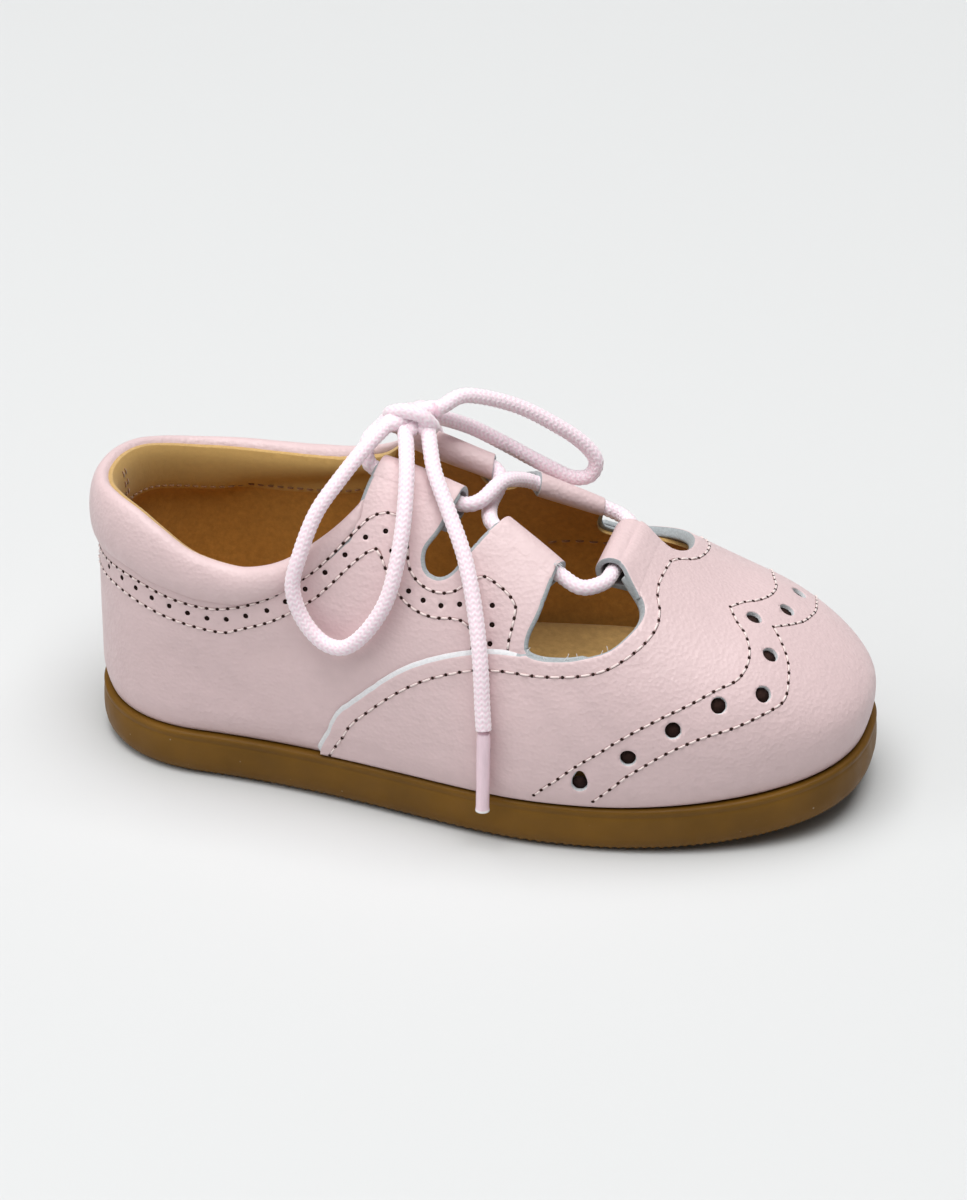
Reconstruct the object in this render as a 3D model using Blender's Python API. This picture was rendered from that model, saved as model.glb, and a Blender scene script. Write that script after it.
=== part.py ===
"""Child's open-throat brogue, right shoe, standing empty on its sole.

Sizes are in millimetres and become metres where a mesh is made. +X is the toe, +Y the inner side
of the foot and +Z is up. The origin is on the floor, under the middle of the sole.
"""

import math
from collections import Counter

import bmesh
import bpy
import numpy as np
from mathutils import Matrix, Vector

MM = 0.001
CLEARANCE = 0.3
OUTER, INNER = -1, 1

# Sole: plan outline, seen from above
SOLE_LENGTH = 138.0
SOLE_HEIGHT = 8.5
HEEL_HALF_WIDTH = 22.5
HEEL_WIDE_X = -45.0
HEEL_POWER = 2.2
TOE_POWER = 2.4
BALL_X = {OUTER: 18.0, INNER: 24.0}
BALL_HALF_WIDTH = {OUTER: 29.4, INNER: 28.9}
WAIST = {OUTER: 0.6, INNER: 2.0}
TOE_TURN = 3.0
TOE_TURN_FROM_X = 10.0
TOE_TURN_RUN = 50.0

# Sole: underside and edge
TOE_SPRING = 4.5
TOE_SPRING_X = 25.0
HEEL_SPRING = 0.8
HEEL_SPRING_X = -52.0
ARCH_RISE = 0.8
ARCH_FROM_X = -24.0
ARCH_TO_X = 2.0
SOLE_STATIONS = 38
# Edge profile from the floor up: (height, inset from the outline)
SOLE_EDGE = ((0.0, 2.4), (0.5, 1.1), (1.6, 0.3), (3.6, 0.0), (6.8, 0.1), (7.8, 0.4), (8.5, 1.0))

# Insole
INSOLE_THICKNESS = 5.4
INSOLE_EDGE_ROUND = 0.6

# Upper: the last
WALL = 1.7
TUCK = 1.0
WIDEST_Z = 14.0
HEEL_INSET = 0.3
SIDE_INSET = 0.8
TOE_INSET = 1.7
TOE_CAP_X = 46.0
# Height of the instep line along the shoe: (x, z)
RIDGE = (
    (-69.0, 66.0),
    (-40.0, 65.0),
    (-15.0, 62.0),
    (-1.0, 57.2),
    (6.7, 54.4),
    (16.7, 50.0),
    (24.0, 45.9),
    (33.0, 40.4),
    (42.0, 35.9),
    (50.0, 32.8),
    (69.0, 25.0),
)
# Squareness of the cross section along the shoe: (x, power)
SECTION_POWER = ((-69.0, 2.8), (-40.0, 2.7), (-12.0, 2.0), (5.0, 2.0), (45.0, 2.5), (69.0, 2.5))

# Upper: flat pattern, whose length and half girth only set the shape of its cells
PATTERN_LENGTH = 180.0
PATTERN_HALF_GIRTH = 70.0
PATTERN_COLUMNS = 33
PATTERN_ROWS = 26
PATTERN_MERGE = 0.4
SEAM_MERGE = 0.02
WALL_SHARE = 0.125
CUTTER_DEPTH = 20.0
CURVE_STEPS = 3

# Upper: top edge. Collar rim (x, height on the outer side, height on the inner side), heel to rear tab
COLLAR = (
    (-68.7, 48.6, 48.6),
    (-66.5, 49.0, 47.8),
    (-63.0, 49.3, 46.6),
    (-58.0, 48.7, 45.4),
    (-53.0, 46.7, 45.0),
    (-47.0, 43.6, 45.0),
    (-41.0, 42.0, 45.3),
    (-36.0, 41.9, 45.7),
    (-30.0, 44.0, 46.8),
    (-23.3, 48.8, 49.8),
    (-18.4, 53.6, 54.0),
    (-15.8, 60.0, 60.0),
)
COLLAR_DROP = 1.4
# Keyhole notch between the two lace tabs: (x, z)
NOTCH = (
    (-2.4, 54.9),
    (-4.3, 51.6),
    (-6.4, 48.4),
    (-5.8, 45.2),
    (-3.1, 43.9),
    (-0.3, 45.0),
    (2.0, 48.0),
    (5.8, 51.0),
)
# Side opening in front of the front tab: rear edge and bottom (x, z), then front edge (x, y)
OPENING_REAR = (
    (15.9, 46.0),
    (14.6, 41.5),
    (13.2, 37.6),
    (13.4, 35.2),
    (15.4, 34.2),
    (18.6, 34.0),
    (22.5, 34.3),
    (27.0, 35.2),
)
OPENING_FRONT = {
    OUTER: ((29.6, 19.2), (31.3, 15.6), (30.8, 12.6), (28.0, 10.0), (25.5, 7.8), (24.2, 7.0)),
    INNER: ((30.2, 19.2), (32.8, 15.6), (34.0, 11.6), (34.2, 8.0), (33.2, 5.2), (31.2, 4.0), (28.4, 5.0), (24.2, 7.0)),
}
INNER_TABS_FORWARD = 2.0

# Wing vamp, a second layer of leather over the front of the upper. Its edge from the sole up: (x, z)
WING_THICKNESS = 0.9
WING_REACH = 0.986
WING_EDGE = ((-23.6, 8.0), (-20.0, 15.5), (-15.2, 21.5), (-5.5, 29.5), (5.5, 33.7), (12.4, 34.2))
WING_ACROSS_THROAT = ((16.5, 38.0), (20.0, 46.0))
WING_TAB_X = 27.6
WING_TAB_HALF_WIDTH = 9.0

# Upper: padded collar roll
ROLL_HALF_HEIGHT = 4.6
ROLL_HALF_WIDTH = 2.3
ROLL_OUTWARD = 0.1
ROLL_SIDES = 10
ROLL_STATIONS = 46
ROLL_END_TAPER = 0.16
ROLL_START_X = -19.0

# Upper: lace tabs rolled into tubes, by the ends of each outer tube's axis
TAB_RADIUS = 2.9
TAB_BORE = 1.75
TAB_SIDES = 16
BORE_OVERRUN = 3.0
REAR_TAB = ((-15.8, -7.0, 56.6), (-2.4, -7.1, 52.6))
FRONT_TAB = ((5.8, -9.1, 49.1), (15.9, -12.1, 44.7))
VAMP_TAB = ((24.5, -7.0, 42.9), (24.5, 7.0, 42.9))

# Punched holes of the wing vamp: on the toe (x, distance from the tip's line), then down each flank (x, z).
# The tip's line lies TIP_SHIFT off the toe line, fading out at TIP_HALF_WIDTH
PUNCH_DIAMETER = 2.6
PUNCH_SIDES = 12
TIP_SHIFT = -4.0
TIP_HALF_WIDTH = 28.0
TOE_PUNCHES = ((47.8, 0.0), (52.0, 6.8), (52.4, 14.4))
FLANK_PUNCHES = ((45.9, 26.9), (39.2, 23.8), (32.3, 19.2), (24.4, 13.9))

# Lace
LACE_DIAMETER = 2.75
LACE_STEP = 3.0
LACE_BEVEL = 2
KNOT_CENTRE = (-12.5, 0.0, 63.9)
KNOT_RADII = (4.9, 4.3, 3.4)
AGLET_DIAMETER = 2.4
AGLET_GAP = 0.6
# Route of the lace from the knot through the five tubes and back to the knot
LACE_ROUTE = (
    (-17.3, -1.7, 63.0),
    (-19.2, -4.2, 61.0),
    (-18.6, -6.6, 58.3),
    (-15.8, -7.0, 56.6),
    (-9.1, -7.05, 54.6),
    (-2.4, -7.1, 52.6),
    (0.8, -5.4, 52.6),
    (3.2, 0.6, 53.6),
    (5.4, 6.4, 51.2),
    (7.8, 9.1, 49.1),
    (12.8, 10.6, 46.9),
    (17.9, 12.1, 44.7),
    (21.6, 12.4, 43.2),
    (23.9, 10.0, 42.8),
    (24.5, 7.0, 42.9),
    (24.5, 0.0, 42.9),
    (24.5, -7.0, 42.9),
    (23.6, -10.4, 42.6),
    (20.4, -13.0, 42.8),
    (15.9, -12.1, 44.7),
    (10.8, -10.6, 46.9),
    (5.8, -9.1, 49.1),
    (3.0, -6.4, 49.6),
    (1.4, -0.6, 49.4),
    (1.7, 4.7, 51.0),
    (-0.4, 7.1, 52.6),
    (-7.1, 7.05, 54.6),
    (-13.8, 7.0, 56.6),
    (-16.9, 6.7, 58.2),
    (-18.6, 4.7, 60.2),
    (-17.3, 2.2, 62.0),
)
OUTER_LOOP_ROUTE = (
    (-15.9, -4.6, 64.4),
    (-18.2, -9.6, 62.4),
    (-21.0, -14.6, 58.9),
    (-24.2, -19.0, 53.9),
    (-26.3, -22.4, 47.0),
    (-27.2, -23.6, 41.4),
    (-25.4, -24.0, 35.9),
    (-21.7, -24.6, 32.2),
    (-17.7, -25.0, 32.0),
    (-14.0, -24.7, 35.4),
    (-11.0, -23.3, 40.6),
    (-9.7, -21.1, 46.3),
    (-9.4, -17.3, 52.8),
    (-10.2, -12.2, 58.6),
    (-11.6, -7.2, 61.8),
    (-12.4, -5.0, 62.9),
)
OUTER_END_ROUTE = (
    (-8.7, -3.4, 62.6),
    (-6.1, -9.2, 59.2),
    (-2.2, -14.2, 54.6),
    (1.8, -18.9, 48.9),
    (4.8, -23.5, 41.6),
    (6.7, -27.2, 34.3),
    (7.7, -29.5, 26.7),
    (8.2, -30.5, 22.9),
)
OUTER_AGLET_FOOT = (8.2, -31.3, 7.4)
INNER_LOOP_ROUTE = (
    (-7.8, 2.2, 65.8),
    (-4.6, 6.4, 66.2),
    (2.6, 12.0, 62.4),
    (9.4, 15.2, 57.6),
    (13.6, 16.9, 53.8),
    (15.6, 17.4, 50.6),
    (14.6, 17.0, 47.8),
    (11.6, 16.2, 47.4),
    (8.2, 15.2, 49.2),
    (4.6, 14.2, 51.4),
    (0.2, 13.0, 54.2),
    (-5.0, 10.4, 58.0),
    (-9.3, 4.9, 62.2),
)
INNER_END_ROUTE = (
    (-13.6, 4.9, 62.6),
    (-13.6, 9.2, 61.2),
    (-13.4, 13.4, 57.6),
    (-13.2, 17.2, 52.2),
    (-12.8, 20.6, 45.6),
    (-12.4, 23.2, 38.4),
    (-12.0, 25.0, 31.0),
    (-11.8, 26.0, 25.4),
)
INNER_AGLET_FOOT = (-11.6, 26.9, 9.9)

# Materials: colour, roughness
FINISHES = {
    "pink_leather": ((0.62, 0.46, 0.46), 0.42),
    "brown_rubber": ((0.12, 0.055, 0.012), 0.5),
    "tan_footbed": ((0.26, 0.145, 0.055), 0.75),
    "pink_cord": ((0.69, 0.5, 0.51), 0.8),
    "clear_tip": ((0.68, 0.53, 0.59), 0.3),
}

UPPER_BACK = -SOLE_LENGTH / 2 + HEEL_INSET
UPPER_FRONT = SOLE_LENGTH / 2 - TOE_INSET


def smooth(t):
    """Eased step from 0 to 1."""
    t = np.clip(t, 0.0, 1.0)
    return t * t * (3.0 - 2.0 * t)


def end_cap(t, power):
    """Quarter of a superellipse: 1 at t = 0, falling to 0 at t = 1."""
    return (1.0 - np.clip(t, 0.0, 1.0) ** power) ** (1.0 / power)


def through(table, x):
    """Smooth curve through the rows of a table of (x, value), with no overshoot."""
    xs, ys = np.array(table, float).T
    step = np.diff(xs)
    slope = np.diff(ys) / step
    total = slope[1:] + slope[:-1]
    mean = 2.0 * slope[1:] * slope[:-1] / np.where(total == 0.0, 1.0, total)
    inner = np.where(slope[1:] * slope[:-1] > 0.0, mean, 0.0)
    tangent = np.concatenate(([slope[0]], inner, [slope[-1]]))
    x = np.clip(np.asarray(x, float), xs[0], xs[-1])
    i = np.clip(np.searchsorted(xs, x, side="right") - 1, 0, len(step) - 1)
    t = (x - xs[i]) / step[i]
    start = (1.0 + 2.0 * t) * (1.0 - t) ** 2 * ys[i] + t * (1.0 - t) ** 2 * step[i] * tangent[i]
    end = t * t * (3.0 - 2.0 * t) * ys[i + 1] + t * t * (t - 1.0) * step[i] * tangent[i + 1]
    return start + end


def curve_through(points, steps):
    """Smooth open curve (Catmull-Rom) through a few points, with this many steps between two of them."""
    points = np.array(points, float)
    ends = np.vstack([2.0 * points[0] - points[1], points, 2.0 * points[-1] - points[-2]])
    found = []
    for a, b, c, d in zip(ends[:-3], ends[1:-2], ends[2:-1], ends[3:]):
        for t in np.arange(steps) / steps:
            square, cube = t * t, t * t * t
            bend = (2.0 * a - 5.0 * b + 4.0 * c - d) * square + (3.0 * b - a - 3.0 * c + d) * cube
            found.append(0.5 * (2.0 * b + (c - a) * t + bend))
    found.append(points[-1])
    return np.array(found)


def half_width(x, side, inset, back, front):
    """Half width of the plan outline, moved in by inset, with its ends at back and front."""
    heel = HEEL_HALF_WIDTH - inset
    ball = BALL_HALF_WIDTH[side] - inset
    along = (x - HEEL_WIDE_X) / (BALL_X[side] - HEEL_WIDE_X)
    waist = WAIST[side] * np.sin(np.pi * np.clip(along, 0.0, 1.0)) ** 2
    middle = heel + (ball - heel) * smooth(along) - waist
    heel_end = heel * end_cap((HEEL_WIDE_X - x) / (HEEL_WIDE_X - back), HEEL_POWER)
    toe_end = ball * end_cap((x - BALL_X[side]) / (front - BALL_X[side]), TOE_POWER)
    return np.where(x < HEEL_WIDE_X, heel_end, np.where(x > BALL_X[side], toe_end, middle))


def centre_y(x):
    """Middle line of the outline, which turns inwards at the toe."""
    return TOE_TURN * smooth((x - TOE_TURN_FROM_X) / TOE_TURN_RUN)


def spring(x):
    """Rise of the sole over the floor at the toe and at the back of the heel."""
    half = SOLE_LENGTH / 2
    toe = TOE_SPRING * np.clip((x - TOE_SPRING_X) / (half - TOE_SPRING_X), 0.0, 1.0) ** 2
    heel = HEEL_SPRING * np.clip((HEEL_SPRING_X - x) / (half + HEEL_SPRING_X), 0.0, 1.0) ** 2
    return toe + heel


def arch(x):
    """Shallow rise of the underside between heel and ball."""
    along = np.clip((x - ARCH_FROM_X) / (ARCH_TO_X - ARCH_FROM_X), 0.0, 1.0)
    return ARCH_RISE * np.sin(np.pi * along) ** 2


def upper_inset(x):
    """Distance from the edge of the sole in to the widest line of the upper."""
    heel_to_side = (SIDE_INSET - HEEL_INSET) * smooth((x - UPPER_BACK) / (-UPPER_BACK))
    side_to_toe = (TOE_INSET - SIDE_INSET) * smooth((x - BALL_X[OUTER]) / (UPPER_FRONT - BALL_X[INNER]))
    return HEEL_INSET + heel_to_side + side_to_toe


def station_x(u):
    """Position along the upper for u from 0 at the heel to 1 at the toe, closer together at both ends."""
    middle, half = (UPPER_BACK + UPPER_FRONT) / 2, (UPPER_FRONT - UPPER_BACK) / 2
    return middle - np.cos(np.pi * np.clip(u, 0.0, 1.0)) * half


def station_u(x):
    middle, half = (UPPER_BACK + UPPER_FRONT) / 2, (UPPER_FRONT - UPPER_BACK) / 2
    return np.arccos(np.clip((middle - x) / half, -1.0, 1.0)) / np.pi


def upper_half_width(x, side):
    widths = [half_width(x, s, upper_inset(x), UPPER_BACK, UPPER_FRONT) for s in (OUTER, INNER)]
    return np.where(side < 0, widths[0], widths[1])


def widest_z(x):
    return WIDEST_Z + spring(x)


def base_z(x):
    return SOLE_HEIGHT + CLEARANCE + spring(x)


def rise(x):
    """Height of the instep line over the widest line, closing down at the toe."""
    toe = end_cap((x - TOE_CAP_X) / (UPPER_FRONT - TOE_CAP_X), TOE_POWER)
    return (through(RIDGE, x) - widest_z(x)) * toe


def last_point(u, q):
    """Point of the last. q runs round a section: -1 at the outer bottom edge, 0 on the instep, 1 inner."""
    u, q = np.broadcast_arrays(np.asarray(u, float), np.asarray(q, float))
    side = np.where(q < 0.0, OUTER, INNER)
    up = 1.0 - np.abs(q)
    x = station_x(u)
    width = upper_half_width(x, side)
    turn = np.clip((up - WALL_SHARE) / (1.0 - WALL_SHARE), 0.0, 1.0) * np.pi / 2
    round_off = 2.0 / through(SECTION_POWER, x)
    y = width * np.cos(turn) ** round_off
    z = widest_z(x) + rise(x) * np.sin(turn) ** round_off
    low = np.clip(1.0 - up / WALL_SHARE, 0.0, 1.0)
    z = np.where(low > 0.0, widest_z(x) + (base_z(x) - widest_z(x)) * low, z)
    before, after = station_x(u - 1e-4), station_x(u + 1e-4)
    along = after - before
    across = upper_half_width(after, side) - upper_half_width(before, side)
    tuck = TUCK * low**2 / np.maximum(np.hypot(along, across), 1e-12)
    return np.stack([x + tuck * across, centre_y(x) + side * (y - tuck * along), z], axis=-1)


def outward(u, q):
    """Unit normal of the last, taken a little inside its two end points."""
    step = 1e-3
    u = np.clip(u, step, 1.0 - step)
    along = last_point(u + step, q) - last_point(u - step, q)
    around = last_point(u, q + step) - last_point(u, q - step)
    normal = np.cross(along, around)
    return normal / np.linalg.norm(normal, axis=-1, keepdims=True)


def pattern_from_side(x, z, side):
    """Place (u, q) on the pattern of a point seen from the side."""
    x, z = np.asarray(x, float), np.asarray(z, float)
    share = np.clip((z - widest_z(x)) / np.maximum(rise(x), 1e-9), 0.0, 1.0)
    turn = np.arcsin(share ** (through(SECTION_POWER, x) / 2.0))
    up = WALL_SHARE + (1.0 - WALL_SHARE) * turn / (np.pi / 2)
    low = (widest_z(x) - z) / (widest_z(x) - base_z(x))
    return station_u(x), side * (1.0 - np.where(low > 0.0, WALL_SHARE * (1.0 - low), up))


def pattern_from_top(x, y, side):
    """Place (u, q) on the pattern of a point seen from above, y being measured from the middle line."""
    x, y = np.asarray(x, float), np.asarray(y, float)
    share = np.clip(y / upper_half_width(x, side), 0.0, 1.0)
    turn = np.arccos(share ** (through(SECTION_POWER, x) / 2.0))
    return station_u(x), side * (1.0 - WALL_SHARE) * (1.0 - turn / (np.pi / 2))


def tabs_x(x, side):
    """The inner tabs sit a little further forward than the outer ones."""
    if side == OUTER:
        return x
    fade = smooth((x + 40.0) / 25.0) * (1.0 - smooth((x - 14.0) / 14.0))
    return x + INNER_TABS_FORWARD * fade


def side_run(table, side, column=1):
    """Smooth run of pattern places through rows of (x, z), on one side of the shoe."""
    rows = np.array(table, float)
    u, q = pattern_from_side(tabs_x(rows[:, 0], side), rows[:, column], side)
    return curve_through(np.stack([u, q], axis=-1), CURVE_STEPS)


def collar_run(side, drop):
    """Run along the collar rim, lowered by drop, from the heel to the rear tab."""
    rows = np.array(COLLAR, float)
    rows[:, 1:] -= drop
    return side_run(rows, side, 1 if side == OUTER else 2)


def throat_edge(side):
    """One side of the top edge, from the heel to the middle of the vamp tab."""
    front = np.array(OPENING_FRONT[side], float)
    u, q = pattern_from_top(front[:, 0], front[:, 1], side)
    opening_front = curve_through(np.stack([u, q], axis=-1), CURVE_STEPS)
    runs = [collar_run(side, COLLAR_DROP), side_run(NOTCH, side), side_run(OPENING_REAR, side)]
    return np.vstack([*runs, opening_front])


def throat_outline():
    """Closed outline, on the pattern, of all that is cut away over the collar and the throat."""
    outer, inner = throat_edge(OUTER), throat_edge(INNER)
    behind_heel = [(-0.05, inner[0, 1]), (-0.05, outer[0, 1])]
    return np.vstack([outer, inner[::-1], behind_heel])


def behind_wing_outline():
    """Closed outline, on the pattern, of all that lies behind the wing vamp."""
    sides = []
    for side in (OUTER, INNER):
        edge = side_run(WING_EDGE, side)
        edge[0, 1] = side * 1.1
        across = side_run(WING_ACROSS_THROAT, side)
        tab = np.stack(pattern_from_top([WING_TAB_X], [WING_TAB_HALF_WIDTH], side), axis=-1)
        sides.append(np.vstack([edge, across, tab]))
    corners = np.array([[-0.1, INNER * 1.1], [-0.1, OUTER * 1.1]])
    return np.vstack([sides[0], sides[1][::-1], corners])


def make_material(name):
    colour, roughness = FINISHES[name]
    material = bpy.data.materials.new(name)
    material.use_nodes = True
    shader = material.node_tree.nodes["Principled BSDF"]
    shader.inputs["Base Color"].default_value = (*colour, 1.0)
    shader.inputs["Roughness"].default_value = roughness
    shader.inputs["Metallic"].default_value = 0.0
    return material


def add_object(name, mesh, collection):
    obj = bpy.data.objects.new(name, mesh)
    collection.objects.link(obj)
    return obj


def add_part(name, mesh, finish):
    """Visible part with its material, shaded smooth."""
    mesh.materials.clear()
    mesh.materials.append(materials[finish])
    mesh.shade_smooth()
    mesh.set_sharp_from_angle(angle=math.radians(40))
    return add_object(name, mesh, parts)


def add_cutter(name, mesh):
    obj = add_object(name, mesh, cutters)
    obj.hide_render = True
    obj.display_type = "WIRE"
    return obj


def mesh_from(name, build):
    """New mesh filled by a function that takes a bmesh."""
    mesh = bpy.data.meshes.new(name)
    bm = bmesh.new()
    build(bm)
    bmesh.ops.recalc_face_normals(bm, faces=bm.faces)
    bm.to_mesh(mesh)
    bm.free()
    return mesh


def evaluated_mesh(obj):
    graph = bpy.context.evaluated_depsgraph_get()
    return bpy.data.meshes.new_from_object(obj.evaluated_get(graph))


def add_boolean(obj, operation, other):
    """Boolean with one object, or with every object of a collection."""
    modifier = obj.modifiers.new(operation.lower(), "BOOLEAN")
    modifier.operation = operation
    modifier.solver = "EXACT"
    if isinstance(other, bpy.types.Collection):
        modifier.operand_type = "COLLECTION"
        modifier.collection = other
    else:
        modifier.object = other
    return modifier


def outline_rings(edge, inset_at, back, front):
    """Rings of a sole-shaped solid from a profile of (height, inset), outer side first, then back along the inner."""
    rings = []
    for level, (height, inset) in enumerate(edge):
        start, stop = back + inset_at(back) + inset, front - inset_at(front) - inset
        turn = np.linspace(0.0, np.pi, SOLE_STATIONS)
        x = (start + stop) / 2 - np.cos(turn) * (stop - start) / 2
        z = spring(x) + height + (arch(x) if level == 0 else 0.0)
        sides = []
        for side in (OUTER, INNER):
            y = centre_y(x) + side * half_width(x, side, inset_at(x) + inset, start, stop)
            sides.append(np.stack([x, y, z], axis=-1))
        rings.append(np.vstack([sides[0], sides[1][-2:0:-1]]))
    return rings


def loft(bm, rings):
    """Joins rings of equal count, and closes both ends by strips across the shoe."""
    levels = [[bm.verts.new(Vector(point) * MM) for point in ring] for ring in rings]
    count = len(levels[0])
    for lower, upper in zip(levels[:-1], levels[1:]):
        for i in range(count):
            j = (i + 1) % count
            bm.faces.new((lower[i], lower[j], upper[j], upper[i]))
    for ring in (levels[0], levels[-1]):
        for i in range(SOLE_STATIONS - 1):
            corners = [ring[i], ring[i + 1], ring[(count - i - 1) % count], ring[(count - i) % count]]
            bm.faces.new(list(dict.fromkeys(corners)))


def make_outsole():
    half = SOLE_LENGTH / 2
    rings = outline_rings(SOLE_EDGE, lambda x: 0.0 * x, -half, half)
    add_part("outsole", mesh_from("outsole", lambda bm: loft(bm, rings)), "brown_rubber")


def make_insole():
    """Footbed that fills the inside of the upper's wall and rests on the sole."""
    half = SOLE_LENGTH / 2
    bottom = SOLE_HEIGHT + CLEARANCE
    top = bottom + INSOLE_THICKNESS
    edge = ((bottom, 0.0), (top - INSOLE_EDGE_ROUND, 0.0), (top, INSOLE_EDGE_ROUND))
    reach = TUCK + WALL + 2.0 * CLEARANCE
    rings = outline_rings(edge, lambda x: upper_inset(x) + reach, -half, half)
    add_part("insole", mesh_from("insole", lambda bm: loft(bm, rings)), "tan_footbed")


def outline_prism(name, outlines):
    """Cutter on the flat pattern: 2D curves through these places, filled and extruded both ways."""
    curve = bpy.data.curves.new(name, "CURVE")
    curve.dimensions = "2D"
    curve.fill_mode = "BOTH"
    curve.extrude = CUTTER_DEPTH * MM
    for places in outlines:
        spline = curve.splines.new("POLY")
        spline.points.add(len(places) - 1)
        for point, (u, q) in zip(spline.points, places):
            point.co = (u * PATTERN_LENGTH * MM, q * PATTERN_HALF_GIRTH * MM, 0.0, 1.0)
        spline.use_cyclic_u = True
    flat = add_object(name, curve, cutters)
    mesh = evaluated_mesh(flat)
    bpy.data.objects.remove(flat)
    bm = bmesh.new()
    bm.from_mesh(mesh)
    bmesh.ops.remove_doubles(bm, verts=bm.verts, dist=1e-3 * MM)
    bmesh.ops.recalc_face_normals(bm, faces=bm.faces)
    bm.to_mesh(mesh)
    bm.free()
    return add_cutter(name, mesh)


def cut_pattern(name, prisms):
    """Flat grid of the whole upper with the prisms cut away and no slivers left along the cuts."""
    bpy.ops.mesh.primitive_grid_add(x_subdivisions=PATTERN_COLUMNS, y_subdivisions=PATTERN_ROWS, size=1.0)
    grid = bpy.context.object
    grid.name = name
    for vertex in grid.data.vertices:
        vertex.co.x = (vertex.co.x + 0.5) * PATTERN_LENGTH * MM
        vertex.co.y *= 2.0 * PATTERN_HALF_GIRTH * MM
    for prism in prisms:
        add_boolean(grid, "DIFFERENCE", prism)
    mesh = evaluated_mesh(grid)
    bpy.data.objects.remove(grid)
    bm = bmesh.new()
    bm.from_mesh(mesh)
    bmesh.ops.remove_doubles(bm, verts=bm.verts, dist=PATTERN_MERGE * MM)
    on_edge = [face for face in bm.faces if len(face.verts) > 4 or any(v.is_boundary for v in face.verts)]
    bmesh.ops.triangulate(bm, faces=on_edge)
    bm.to_mesh(mesh)
    bm.free()
    return mesh


def make_shell(name, near, far, reach, prisms):
    """One layer of leather: cut flat, then wrapped between two offsets from the last."""
    flat = cut_pattern(name, prisms)
    u = np.array([vertex.co.x for vertex in flat.vertices]) / (PATTERN_LENGTH * MM)
    q = np.array([vertex.co.y for vertex in flat.vertices]) / (PATTERN_HALF_GIRTH * MM)
    q = np.clip(q, -reach, reach)
    faces = [tuple(polygon.vertices) for polygon in flat.polygons]
    uses = Counter(key for polygon in flat.polygons for key in polygon.edge_keys)
    on_seam = (u < 1e-5) | (u > 1.0 - 1e-5)
    rim = [(a, b) for (a, b), count in uses.items() if count == 1 and not (on_seam[a] and on_seam[b])]

    def build(bm):
        places = (last_point(u, q) + outward(u, q) * offset for offset in (near, far))
        inside, outside = ([bm.verts.new(Vector(point) * MM) for point in layer] for layer in places)
        for layer in (inside, outside):
            for face in faces:
                bm.faces.new([layer[i] for i in face])
        for a, b in rim:
            bm.faces.new((inside[a], inside[b], outside[b], outside[a]))
        bmesh.ops.remove_doubles(bm, verts=bm.verts, dist=SEAM_MERGE * MM)
        bmesh.ops.dissolve_degenerate(bm, edges=bm.edges, dist=SEAM_MERGE * MM)

    return mesh_from(name, build)


def collar_roll(bm):
    """Padded roll along the collar rim, from one rear tab round the heel to the other."""
    places = []
    for side in (OUTER, INNER):
        run = collar_run(side, ROLL_HALF_HEIGHT)
        first = station_u(ROLL_START_X)
        wanted = np.linspace(first, first / ROLL_STATIONS, ROLL_STATIONS // 2)
        half = np.stack([wanted, np.interp(wanted, run[:, 0], run[:, 1])], axis=-1)
        places.append(half if side == OUTER else half[::-1])
    places = np.vstack(places)
    share = np.linspace(0.0, 1.0, len(places))
    fade = smooth(np.minimum(share, 1.0 - share) / ROLL_END_TAPER)
    rings = []
    for (u, q), size in zip(places, fade):
        normal = outward(u, q)
        down = last_point(u, q + math.copysign(1e-3, q)) - last_point(u, q)
        down /= np.linalg.norm(down)
        centre = last_point(u, q) + normal * (ROLL_OUTWARD - WALL / 2)
        height = ROLL_HALF_HEIGHT * (0.35 + 0.65 * size)
        width = WALL / 2 - 0.2 + (ROLL_HALF_WIDTH - WALL / 2 + 0.2) * size
        turns = np.arange(ROLL_SIDES) * 2.0 * np.pi / ROLL_SIDES
        rings.append([centre + down * height * np.cos(t) + normal * width * np.sin(t) for t in turns])
    levels = [[bm.verts.new(Vector(point) * MM) for point in ring] for ring in rings]
    for first, second in zip(levels[:-1], levels[1:]):
        for i in range(ROLL_SIDES):
            j = (i + 1) % ROLL_SIDES
            bm.faces.new((first[i], first[j], second[j], second[i]))
    bm.faces.new(levels[0])
    bm.faces.new(levels[-1])


def rod(name, ends, radius, sides, overrun=0.0):
    """Round bar between two points, as a helper for a union or a cut."""
    start, stop = Vector(ends[0]), Vector(ends[1])
    axis = (stop - start).normalized()
    length = (stop - start).length + 2.0 * overrun
    place = Matrix.Translation((start + stop) / 2 * MM) @ axis.to_track_quat("Z", "Y").to_matrix().to_4x4()

    def build(bm):
        size = radius * MM
        bmesh.ops.create_cone(
            bm, cap_ends=True, segments=sides, radius1=size, radius2=size, depth=length * MM, matrix=place
        )

    return add_cutter(name, mesh_from(name, build))


def tab_axes():
    """Ends of the axis of each of the five rolled tabs."""
    axes = {"vamp_tab": VAMP_TAB}
    for name, (start, stop) in (("rear_tab", REAR_TAB), ("front_tab", FRONT_TAB)):
        axes[f"{name}_outer"] = (start, stop)
        axes[f"{name}_inner"] = tuple((x + INNER_TABS_FORWARD, -y, z) for x, y, z in (start, stop))
    return axes


def helper_group(name, helpers):
    """Collection of helpers for one Boolean."""
    group = bpy.data.collections.new(name)
    cutters.children.link(group)
    for helper in helpers:
        cutters.objects.unlink(helper)
        group.objects.link(helper)
    return group


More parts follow.
